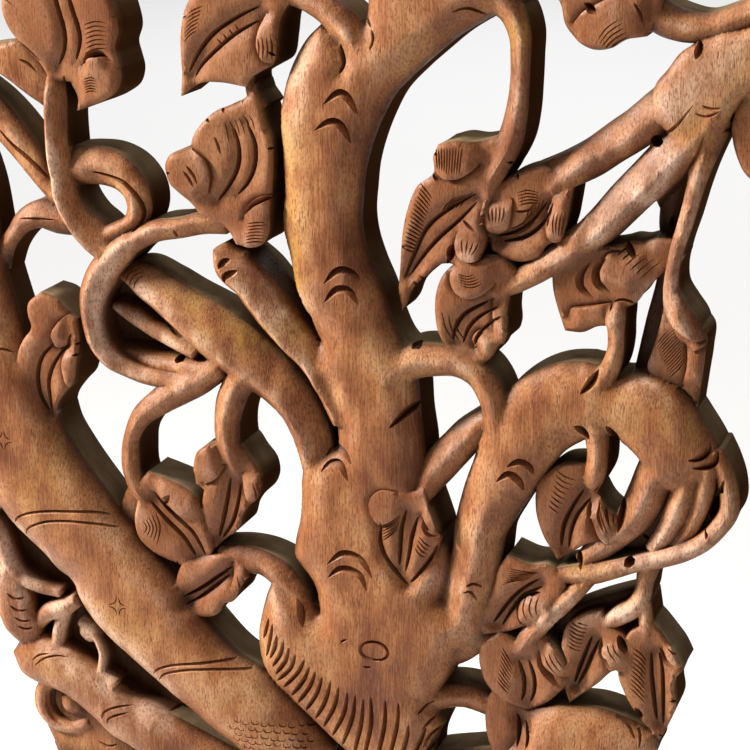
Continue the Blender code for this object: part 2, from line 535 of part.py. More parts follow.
# Pairs of crescent gouges: the trunk's four, the right limb's two, the hood's and the left stub's.
CRESCENTS = [
    [(-30, 182), (-20, 190), (-13, 187), (-7, 176)], [(-36, 165), (-26, 171), (-18, 169), (-12, 157)],
    [(-30, 64), (-21, 73), (-12, 72), (-6, 66)], [(-30, 51), (-22, 60), (-13, 60), (-7, 51)],
    [(-32, -57), (-27, -52), (-19, -52), (-12, -59)], [(-34, -67), (-28, -61), (-20, -61), (-14, -71)],
    [(-29, -132), (-18, -123), (-5, -126), (3, -138)], [(-29, -142), (-19, -134), (-6, -137), (-1, -148)],
    [(95, -51), (103, -47), (110, -50), (112, -56)], [(88, -62), (96, -56), (103, -60), (106, -68)],
    [(226, -22), (226, -28), (221, -33), (214, -35)], [(232, -27), (230, -36), (223, -39), (217, -40)],
    [(-107, 67), (-103, 72), (-98, 73)], [(-102, 56), (-102, 62), (-92, 67)],
]
CRESCENT_HALF, CRESCENT_DEPTH = 1.8, 3.0

# The paired grooves that band the two lower limbs.
BANDS = [
    [(-267, -131), (-262, -124), (-248, -118), (-226, -115), (-203, -114)],
    [(-259, -140), (-255, -132), (-242, -125), (-224, -122), (-203, -122)],
    [(-163, -234), (-158, -227), (-145, -221), (-124, -217), (-104, -214)],
    [(-159, -238), (-153, -230), (-138, -224), (-118, -221), (-92, -220)],
]
BAND_HALF, BAND_DEPTH = 1.4, 1.4

# The fluted foot: its flutes start evenly along one line and end evenly along another.
FLUTES = 20
FLUTE_HEADS = [
    (-76, -178), (-66, -188), (-56, -197), (-44, -205), (-30, -215), (-14, -223), (6, -226), (22, -229),
    (42, -241),
]
FLUTE_FEET = [
    (-81, -194), (-73, -216), (-62, -236), (-48, -248), (-33, -260), (-17, -268), (0, -272), (18, -270),
    (34, -262),
]
FLUTE_BOW = 2.5
FLUTE_HALF, FLUTE_DEPTH = 1.9, 2.6

GOUGE_STEPS = 4
GOUGE_CLEAR = 3.0  # how far a gouge cutter stands above the surface
GOUGE_END = 0.02  # the share of its route left uncut at each end
GOUGE_TIP = 0.12  # the share of its full size that a gouge has at its ends


def clear_scene():
    for obj in list(bpy.data.objects):
        bpy.data.objects.remove(obj)


def wood():
    material = bpy.data.materials.new("carved_hardwood")
    material.use_nodes = True
    shader = material.node_tree.nodes["Principled BSDF"]
    shader.inputs["Base Color"].default_value = WOOD_COLOUR
    shader.inputs["Roughness"].default_value = WOOD_ROUGHNESS
    return material


def to_segment(point, start, end):
    """How far along start-end the nearest place to point is, from 0 to 1, and its distance."""
    along = end - start
    t = max(0.0, min(1.0, (point - start).dot(along) / max(along.length_squared, 1e-9)))
    return t, (point - start - along * t).length


def edge_distance(point, outline):
    return min(to_segment(point, a, b)[1] for a, b in zip(outline, outline[1:] + outline[:1]))


def spine_height(point, spine):
    """The crown height at the spine's nearest place."""
    best = None
    for a, b in zip(spine, spine[1:]):
        t, distance = to_segment(point, Vector(a[:2]), Vector(b[:2]))
        if best is None or distance < best[0]:
            best = (distance, a[2] + (b[2] - a[2]) * t)
    return best[1]


def add_closed(name, points, faces, turn):
    """A closed mesh from (x, height, z) points in millimetres, with its normals facing out."""
    mesh = bpy.data.meshes.new(name)
    form = bmesh.new()
    aside = STEP * turn
    corners = [form.verts.new(Vector((x + aside, -height, z + aside)) * MILLIMETRE) for x, height, z in points]
    for face in faces:
        form.faces.new([corners[i] for i in face])
    bmesh.ops.recalc_face_normals(form, faces=form.faces)
    bmesh.ops.triangulate(form, faces=form.faces)
    form.to_mesh(mesh)
    form.free()
    obj = bpy.data.objects.new(name, mesh)
    bpy.context.scene.collection.objects.link(obj)
    return obj


def vine(name, route, lean, turn):
    """A limb of upright walls with a bevelled crown, swept along its route."""
    points, faces = [], []
    last = len(route) - 1
    back = BEHIND + STEP * turn
    flat = (LEAN_SHIFT * lean - FLAT_SHARE, LEAN_SHIFT * lean + FLAT_SHARE)
    for i, (x, z, half, top) in enumerate(route):
        ahead = Vector(route[min(i + 1, last)][:2]) - Vector(route[max(i - 1, 0)][:2])
        side = Vector((ahead.y, -ahead.x)).normalized() * half
        drop = min(half * CROWN_DROP, MOST_CROWN_DROP)
        section = ((-1, -back), (-1, top - drop), (flat[0], top), (flat[1], top), (1, top - drop),
        (1, -back))
        points += [(x + side.x * across, height, z + side.y * across) for across, height in section]
    around = 6
    for i in range(last):
        for k in range(around):
            a, b = i * around + k, i * around + (k + 1) % around
            faces.append((a, b, b + around, a + around))
    faces.append(tuple(range(around)))
    faces.append(tuple(last * around + k for k in range(around)))
    return add_closed(name, points, faces, turn)


def plate(name, outline, spine, shoulder, drop, turn):
    """A form of upright walls that fills its outline, domed from a low edge up to its spine."""
    back = BEHIND + STEP * turn
    edge = [Vector(p) for p in outline]
    inside = []
    low_x, high_x = min(p.x for p in edge), max(p.x for p in edge)
    low_z, high_z = min(p.y for p in edge), max(p.y for p in edge)
    row_step = GRID * math.sqrt(3) / 2
    for row in range(1, int((high_z - low_z) / row_step) + 1):
        for column in range(int((high_x - low_x) / GRID) + 2):
            point = Vector((low_x + (column + 0.5 * (row % 2)) * GRID, low_z + (row - 0.3) * row_step))
            if edge_distance(point, edge) > CLEAR_OF_EDGE:
                inside.append(point)
    count = len(edge)
    rim = [(i, (i + 1) % count) for i in range(count)]
    flat, _, triangles, *_ = delaunay_2d_cdt(edge + inside, rim, [], 1, 1e-6)
    points = []
    for i, point in enumerate(flat):
        rise = 0.0 if i < count else min(edge_distance(point, edge) / shoulder, 1.0)
        points.append((point.x, spine_height(point, spine) - drop * (1 - math.sqrt(1 - (1 - rise) ** 2)), point.y))
    faces = [tuple(t) for t in triangles]
    total = len(points)
    points += [(point.x, -back, point.y) for point in flat[:count]]
    faces += [(i, j, total + j, total + i) for i, j in rim]
    faces.append(tuple(total + i for i in range(count)))
    return add_closed(name, points, faces, turn)


def along(route, share):
    """The place a share of the way along a route of (x, z) points, and the direction there."""
    stops = [Vector(p) for p in route]
    lengths = [(b - a).length for a, b in zip(stops, stops[1:])]
    left = share * sum(lengths)
    for a, b, length in zip(stops, stops[1:], lengths):
        if left <= length:
            break
        left -= length
    way = (b - a).normalized()
    return a + way * min(left, length), way


def flute_routes():
    routes = []
    for i in range(FLUTES):
        share = i / (FLUTES - 1)
        head = along(FLUTE_HEADS, share)[0]
        foot = along(FLUTE_FEET, share)[0]
        way = (foot - head).normalized()
        middle = (head + foot) / 2 + Vector((-way.y, way.x)) * FLUTE_BOW
        routes.append([head, middle, foot])
    return routes


def gouge(form, surface, route, half, depth):
    """Adds to the cutter a V that follows the carved surface along its route and runs out at both ends."""
    rings = []
    for i in range(GOUGE_STEPS + 1):
        share = i / GOUGE_STEPS
        place, way = along(route, GOUGE_END + (1 - 2 * GOUGE_END) * share)
        swell = GOUGE_TIP + (1 - GOUGE_TIP) * math.sin(math.pi * share)
        hit = surface.ray_cast(Vector((place.x * MILLIMETRE, -1.0, place.y * MILLIMETRE)), Vector((0, 1, 0)))[0]
        height = -hit.y / MILLIMETRE
        side = Vector((way.y, -way.x)) * half * swell * (1 + GOUGE_CLEAR / (depth * swell))
        corners = (
            (place.x - side.x, height + GOUGE_CLEAR, place.y - side.y),
            (place.x + side.x, height + GOUGE_CLEAR, place.y + side.y),
            (place.x, height - depth * swell, place.y),
        )
        rings.append([form.verts.new(Vector((x, -up, z)) * MILLIMETRE) for x, up, z in corners])
    for near, far in zip(rings, rings[1:]):
        for k in range(3):
            form.faces.new((near[k], near[(k + 1) % 3], far[(k + 1) % 3], far[k]))
    form.faces.new(rings[0])
    form.faces.new(rings[-1])


def gouges(name, surface, cuts):
    """One cutter of gouges that stay clear of each other."""
    form = bmesh.new()
    for route, half, depth in cuts:
        gouge(form, surface, route, half, depth)
    bmesh.ops.recalc_face_normals(form, faces=form.faces)
    bmesh.ops.triangulate(form, faces=form.faces)
    mesh = bpy.data.meshes.new(name)
    form.to_mesh(mesh)
    form.free()
    obj = bpy.data.objects.new(name, mesh)
    bpy.context.scene.collection.objects.link(obj)
    return obj


def board_block():
    """The square block that the carving is cut from: it trims the back and the four sides."""
    form = bmesh.new()
    bmesh.ops.create_cube(form, size=1.0)
    middle = Vector(((BOARD_X[0] + BOARD_X[1]) / 2, -THICKNESS, (BOARD_Z[0] + BOARD_Z[1]) / 2))
    size = Vector((BOARD_X[1] - BOARD_X[0], 2 * THICKNESS, BOARD_Z[1] - BOARD_Z[0]))
    for corner in form.verts:
        corner.co = (Vector([c * s for c, s in zip(corner.co, size)]) + middle) * MILLIMETRE
    mesh = bpy.data.meshes.new("board_block")
    form.to_mesh(mesh)
    form.free()
    obj = bpy.data.objects.new("board_block", mesh)
    bpy.context.scene.collection.objects.link(obj)
    return obj


def helper(obj):
    obj.hide_render = True
    obj.display_type = "WIRE"


def boolean(panel, other, operation):
    """The manifold solver, as the exact one leaves open edges where a hundred forms run into each other."""
    helper(other)
    modifier = panel.modifiers.new(other.name, "BOOLEAN")
    modifier.operation = operation
    modifier.object = other
    modifier.solver = "MANIFOLD"


def main():
    clear_scene()
    forms = []
    for name, shape in PLATES.items():
        forms.append(plate(name, turn=len(forms), **shape))
    for name, route in VINES.items():
        forms.append(vine(name, route, LEANS.get(name, 0.0), len(forms)))
    panel = forms.pop(0)
    panel.name = "carved_panel"
    panel.data.materials.append(wood())
    for form in forms:
        boolean(panel, form, "UNION")
    boolean(panel, board_block(), "INTERSECT")
    surface = BVHTree.FromObject(panel, bpy.context.evaluated_depsgraph_get())
    cuts = [(route, VEIN_HALF, VEIN_DEPTH) for route in VEINS]
    cuts += [(route, CRESCENT_HALF, CRESCENT_DEPTH) for route in CRESCENTS]
    cuts += [(route, BAND_HALF, BAND_DEPTH) for route in BANDS]
    cuts += [(route, FLUTE_HALF, FLUTE_DEPTH) for route in flute_routes()]
    # neighbours lie one after the other in the list, so they fall to different cutters
    boolean(panel, gouges("gouges_odd", surface, cuts[0::2]), "DIFFERENCE")
    boolean(panel, gouges("gouges_even", surface, cuts[1::2]), "DIFFERENCE")
    flats = panel.modifiers.new("join_near_flat_faces", "DECIMATE")
    flats.decimate_type = "DISSOLVE"
    flats.angle_limit = math.radians(NEAR_FLAT)


main()
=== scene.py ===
import math
import bmesh
import bpy
import numpy as np
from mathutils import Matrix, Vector, kdtree
from mathutils.geometry import delaunay_2d_cdt


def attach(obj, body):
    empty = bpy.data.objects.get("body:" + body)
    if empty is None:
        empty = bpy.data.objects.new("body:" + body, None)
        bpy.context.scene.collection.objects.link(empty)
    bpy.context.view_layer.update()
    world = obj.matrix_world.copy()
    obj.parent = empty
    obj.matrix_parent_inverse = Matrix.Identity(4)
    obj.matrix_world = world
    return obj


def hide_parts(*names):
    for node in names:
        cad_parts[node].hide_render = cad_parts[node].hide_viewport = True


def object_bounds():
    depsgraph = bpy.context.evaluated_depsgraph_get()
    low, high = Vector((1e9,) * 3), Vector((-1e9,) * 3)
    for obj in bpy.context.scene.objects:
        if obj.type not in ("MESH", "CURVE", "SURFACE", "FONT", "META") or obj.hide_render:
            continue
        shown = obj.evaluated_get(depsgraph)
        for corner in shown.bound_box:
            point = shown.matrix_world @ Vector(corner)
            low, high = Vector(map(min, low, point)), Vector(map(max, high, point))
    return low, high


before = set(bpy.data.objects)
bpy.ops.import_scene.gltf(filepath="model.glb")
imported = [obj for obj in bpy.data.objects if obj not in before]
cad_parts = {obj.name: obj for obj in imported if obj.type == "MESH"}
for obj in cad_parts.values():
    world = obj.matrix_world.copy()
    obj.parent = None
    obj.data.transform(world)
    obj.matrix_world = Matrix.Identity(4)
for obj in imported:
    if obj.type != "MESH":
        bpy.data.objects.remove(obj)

# An openwork wall panel carved from one board. Lengths are in millimetres until the mesh is made:
# x runs to the right, z up, and height is measured out of the flat back.

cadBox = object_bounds()
mm = 0.001

board = {
    "left": cadBox[0][0] / mm, "right": cadBox[1][0] / mm,
    "bottom": cadBox[0][2] / mm, "top": cadBox[1][2] / mm,
    "thickness": -cadBox[0][1] / mm, "thinnest": 3.0,
}

panelMesh = {
    "edgeStep": 1.7,  # along the sawn edges
    "coarse": 4.6, "medium": 2.4, "fine": 1.35,  # spacing of the points on the carved face
    "mediumFrom": 0.1, "fineFrom": 0.55,  # how much the face bends before it gets the closer spacing
    "fromEdge": 0.4, "fromChain": 0.9, "apart": 0.6,  # how far these keep from an edge and its points
    "mapStep": 1.0, "leastSolid": 0.05,
    "leafUnder": 4.5,  # how far under the topmost form a leaf still gets its own colour
    "handWork": [(0.45, 11.0, 3), (0.16, 3.7, 4)],  # unevenness of the carved face: depth, size, seed
    "wallRows": 2, "wallWander": 0.5, "wallInset": 0.6, "wallSlope": 0.7, "wallSize": 5.0, "wallSeed": 20,
}

# x, z, half width, crown height
vines = {
    "branchTopLeft": [
        (-4, 208, 12, 42), (-12, 222, 12, 45), (-24, 237, 10.5, 44), (-41, 247, 8.5, 42), (-60, 254, 9, 40),
        (-84, 262, 10, 38), (-110, 275, 10, 38),
    ],
    "hookBranch": [
        (58, 252, 12, 44), (76, 255, 11, 44), (90, 247, 9, 44), (97.5, 232, 7.5, 44), (98.5, 215, 6.5, 44),
        (98, 197, 6.5, 44), (96, 180, 7.5, 44), (92, 164, 8.5, 44), (85, 150, 8.5, 44), (78, 138, 7, 43),
        (72, 129, 4, 40),
    ],
    "stubLeft": [
        (-108, 80, 6, 38), (-102, 70, 12, 42), (-88, 58, 12.5, 43), (-73, 40, 12, 44), (-57, 23, 11, 45),
        (-42, 9, 10.5, 45), (-30, -10, 10, 44), (-20, -32, 9, 42),
    ],
    "limbLeftUp": [
        (-184, 57, 5, 30), (-173, 55, 11, 34), (-155, 46, 14, 38), (-138, 36, 15.5, 41),
        (-120, 25, 18.5, 43), (-101, 13, 20, 44), (-84, 2, 19, 44), (-67, -10, 17.5, 44),
        (-54, -25, 15, 44), (-45, -42, 14, 44), (-40, -60, 13, 43), (-37, -84, 12, 40),
    ],
    "cCurl": [
        (-104, 96, 7, 36), (-119, 96, 7.5, 38), (-136, 92, 7, 40), (-153, 89, 7.5, 41), (-170, 81, 8, 42),
        (-183, 70, 9.5, 43), (-195, 56, 10.5, 43), (-202, 41, 9, 43), (-203, 24, 7, 42), (-200, 9, 6.5, 41),
        (-191, -3, 6.5, 40), (-176, -11, 6, 38), (-158, -15, 6, 38), (-140, -15, 6, 38), (-122, -10, 6, 38),
    ],
    "spurUpper": [
        (-191, 32, 3, 26), (-176, 25, 5, 29), (-160, 18, 5.5, 32), (-144, 12, 5.5, 35), (-128, 6, 5, 38),
    ],
    "spurLower": [
        (-186, -2, 4, 26), (-168, -5, 6, 30), (-150, -7, 7, 34), (-132, -6, 6, 37), (-116, -4, 5, 39),
    ],
    "sickleLeft": [
        (-110, -3, 8, 40), (-124, -12, 11, 41), (-139, -21, 11, 41), (-154, -31, 9.5, 41),
        (-168, -43, 7.5, 41), (-175, -57, 6, 40), (-177.5, -71, 7, 39), (-177, -85, 7, 38),
        (-172, -98, 7, 37), (-162, -110, 5, 36),
    ],
    "stubDownLeft": [
        (-84, -2, 6, 43), (-94, -11, 10, 43), (-101, -24, 10.5, 43), (-104, -38, 9.5, 43),
        (-104, -51, 9, 43), (-101, -63, 7.5, 43), (-98, -74, 4, 40),
    ],
    "stemVertical": [
        (-225, 192, 6, 36), (-225, 176, 8.5, 40), (-225, 158, 8.5, 41), (-224, 140, 8.5, 42),
        (-222, 122, 9, 42), (-218, 105, 9.5, 42), (-210, 92, 10.5, 42), (-199, 81, 12, 42),
        (-188, 70, 9, 41),
    ],
    "ringCurl": [
        (-220, 128, 14, 36), (-205, 130, 13.5, 38), (-190, 129.5, 13, 39), (-177, 124.5, 11.5, 40),
        (-168.5, 115, 10, 40), (-166.5, 102, 9, 39), (-171, 92, 8, 38), (-183, 86, 7, 38),
        (-195, 81, 7, 37),
    ],
    "diagonalLeft": [
        (-296, 178, 12, 36), (-277, 164, 12.5, 37), (-263, 151.5, 11.5, 38), (-250, 137, 10, 38),
        (-237, 121, 8.5, 38), (-225, 106, 7, 37),
    ],
    "hookLeft": [
        (-214, 93, 13, 37), (-229, 93, 12.5, 37), (-242, 94, 10, 37), (-253, 89, 8, 36), (-261, 80, 6, 34),
        (-270, 69, 6.5, 30), (-277, 52, 7, 26),
    ],
    "stemSecond": [(-80, 214, 4.5, 34), (-85, 200, 3.5, 34), (-84.5, 188, 4, 35), (-79, 176, 6, 36)],
    "branchRight1": [
        (232, 218, 25, 42), (216, 209, 19, 42), (202, 199, 15, 41), (187, 188, 13, 40),
        (172, 174.5, 13, 39), (156, 163, 12.5, 38), (141, 152, 12, 37), (124.5, 144, 10.5, 37),
        (106, 138, 8, 34),
    ],
    "branchRight2": [
        (220, 188, 14, 43), (208, 172, 14, 43), (194, 158, 14, 43), (181, 144, 13.5, 42),
        (167, 129, 13, 41), (152.5, 112.5, 12, 40), (137.5, 99, 10.5, 40), (122, 88, 9, 40),
        (106, 77, 8, 40), (93, 69, 6.5, 40), (84, 63, 3, 38),
    ],
    "tipRight1": [
        (150, 158.5, 10.5, 37.5), (138, 150, 10, 39), (127, 141, 8, 40), (119, 134, 5.5, 40),
        (114, 129, 3, 38),
    ],
    "tipRight2": [
        (172, 134.5, 11.5, 41), (152.5, 112.5, 11.5, 41.5), (137.5, 99, 10, 41.5), (122, 88, 8.5, 41.5),
        (106, 77, 7.5, 41.5), (93, 69, 6, 41.5), (83, 62, 3, 39),
    ],
    "stemRight": [
        (223, 178, 8, 40), (215, 158, 7.5, 41), (210.5, 138, 5.5, 41), (206, 119, 5, 41),
        (201, 100, 4.5, 41), (198.5, 85, 4.5, 41), (198.5, 74, 5.5, 41), (202, 62, 8.5, 42),
        (209, 50, 9.5, 42), (217, 39, 5, 40),
    ],
    "stemRightShelf": [(204, 150, 5, 17), (195, 132, 8, 17), (193, 113, 9, 17), (196, 94, 9, 17)],
    "stemTopRight": [
        (174, 262, 9, 38), (184, 245.5, 11, 39), (198, 240, 10.5, 39), (214, 239, 9, 39), (230, 244, 9, 39),
        (248, 253, 9, 39), (276, 268, 9, 38),
    ],
    "knobBranch": [
        (165, 66, 4, 38), (164, 57, 6, 43), (164, 45, 5.5, 43), (164, 33, 5.5, 43), (161, 21, 6.5, 44),
        (155, 10, 7.5, 44), (150, 0, 7, 43), (146, -10, 4, 42),
    ],
    "limbRight": [
        (58, -182, 16, 40), (64, -160, 18, 43), (69, -138, 18, 44), (73, -118, 17.5, 44), (75, -99, 18, 44),
        (82, -79, 20.5, 44), (91, -59, 23, 44), (101, -37, 26, 44), (113.5, -19, 27.5, 44),
        (131, -7, 27.5, 44), (150, -2, 25, 44),
    ],
    "stubDownRight": [
        (149, -12, 7, 43), (153, -26, 8, 43), (154, -39, 7, 43), (153, -51, 7, 43), (150, -62, 5, 40),
    ],
    "finger1": [
        (200, -28, 12, 42), (193, -46, 13.5, 42), (186, -64, 13, 41), (179, -79, 12, 40),
        (169, -92, 9.5, 39), (157, -104, 8.5, 38), (144, -115, 6, 36),
    ],
    "finger2": [
        (214, -40, 8, 42), (211, -58, 8.5, 41), (206, -74, 8, 40), (200, -88, 7, 38), (191, -102, 5.5, 36),
    ],
    "finger3": [
        (226, -40, 6, 42), (224, -58, 6, 41), (220, -73, 5.5, 39), (214, -87, 5, 37), (205, -99, 4, 35),
    ],
    "loopVine": [
        (230, -30, 6, 40), (236, -42, 6, 41), (240, -56, 6.5, 41), (240.5, -69, 6.5, 41),
        (233.5, -82, 6, 41), (224.5, -92, 6, 41), (212.5, -100, 6, 41), (198, -106, 6, 41),
        (182, -111, 5.5, 41), (166, -117, 6.5, 41), (150, -122.5, 7.5, 40), (134, -125, 6, 39),
        (120, -128, 5, 37),
    ],
    "archBranch": [
        (3, -14, 5, 44), (12, 0, 9, 45), (26, 12, 12, 44), (43, 15, 11, 43), (60, 14, 9.5, 43),
        (72.5, 8, 9.5, 43), (81, -4, 9.5, 43), (85, -17, 9, 43), (84, -30, 8.5, 42), (78, -42, 6, 40),
    ],
    "archTail": [
        (80, -23, 8, 38), (68.5, -33, 10, 39), (57, -44.5, 12, 40), (47, -57, 12, 41), (38.5, -70, 10, 42),
        (33, -83, 6, 43), (30, -96, 3, 42),
    ],
    "spearBranch": [
        (150, -126, 5, 38), (141, -136, 6, 40), (131, -147, 6.5, 41), (121, -158, 6.5, 41),
        (112, -169, 7, 41), (106, -179, 6, 40), (103, -188, 3, 37),
    ],
    "sickleRight": [
        (189, -112, 8, 38), (187, -124, 6, 38), (185.5, -134, 6, 38), (180.5, -143, 6.5, 38),
        (171, -150, 6.5, 38), (163, -156, 5, 37), (157, -161, 3, 35),
    ],
    "dropRight": [(187, -138, 4.5, 36), (188.5, -150, 5, 37), (190, -163, 5.5, 37), (192, -176, 3, 35)],
    "twigRight": [(46, -198, 7, 36), (60, -190, 9, 36), (75, -181, 7.5, 35), (92, -176, 7, 34)],
    "twigLowRight": [
        (32, -238, 6, 36), (46, -226, 9.5, 36), (62, -223, 9, 35), (77, -226, 9, 34), (94, -234, 8, 33),
    ],
    "twigLow": [
        (-114, -141, 8, 34), (-97, -141, 9.5, 35), (-80, -143, 9.5, 37), (-66, -150, 10, 40),
        (-54, -163, 8, 41), (-44, -182, 4, 41),
    ],
    "arm": [
        (-290, -128, 5, 30), (-285, -146, 6, 31), (-280, -162, 6, 32), (-271, -175, 5, 31),
        (-256, -182, 4, 30), (-240, -185, 3, 28),
    ],
    "foreleg": [(-260, -212, 5, 27), (-250, -201, 6.5, 30), (-238, -196, 7, 31), (-228, -190, 5, 29)],
    "shin": [(-238, -200, 5, 27), (-242, -212, 4.5, 28), (-244, -226, 5, 28)],
    "spike": [
        (-226, -206, 5, 24), (-214, -216, 3, 26), (-208, -228, 2.5, 28), (-208, -242, 3.5, 30),
        (-198, -250, 5, 33),
    ],
    "curl": [
        (-246, -252, 5, 28), (-257, -262, 5.5, 28), (-258, -276, 6, 28), (-249, -287, 5.5, 28),
        (-235, -290, 4.5, 27), (-222, -284, 3.5, 26),
    ],
}

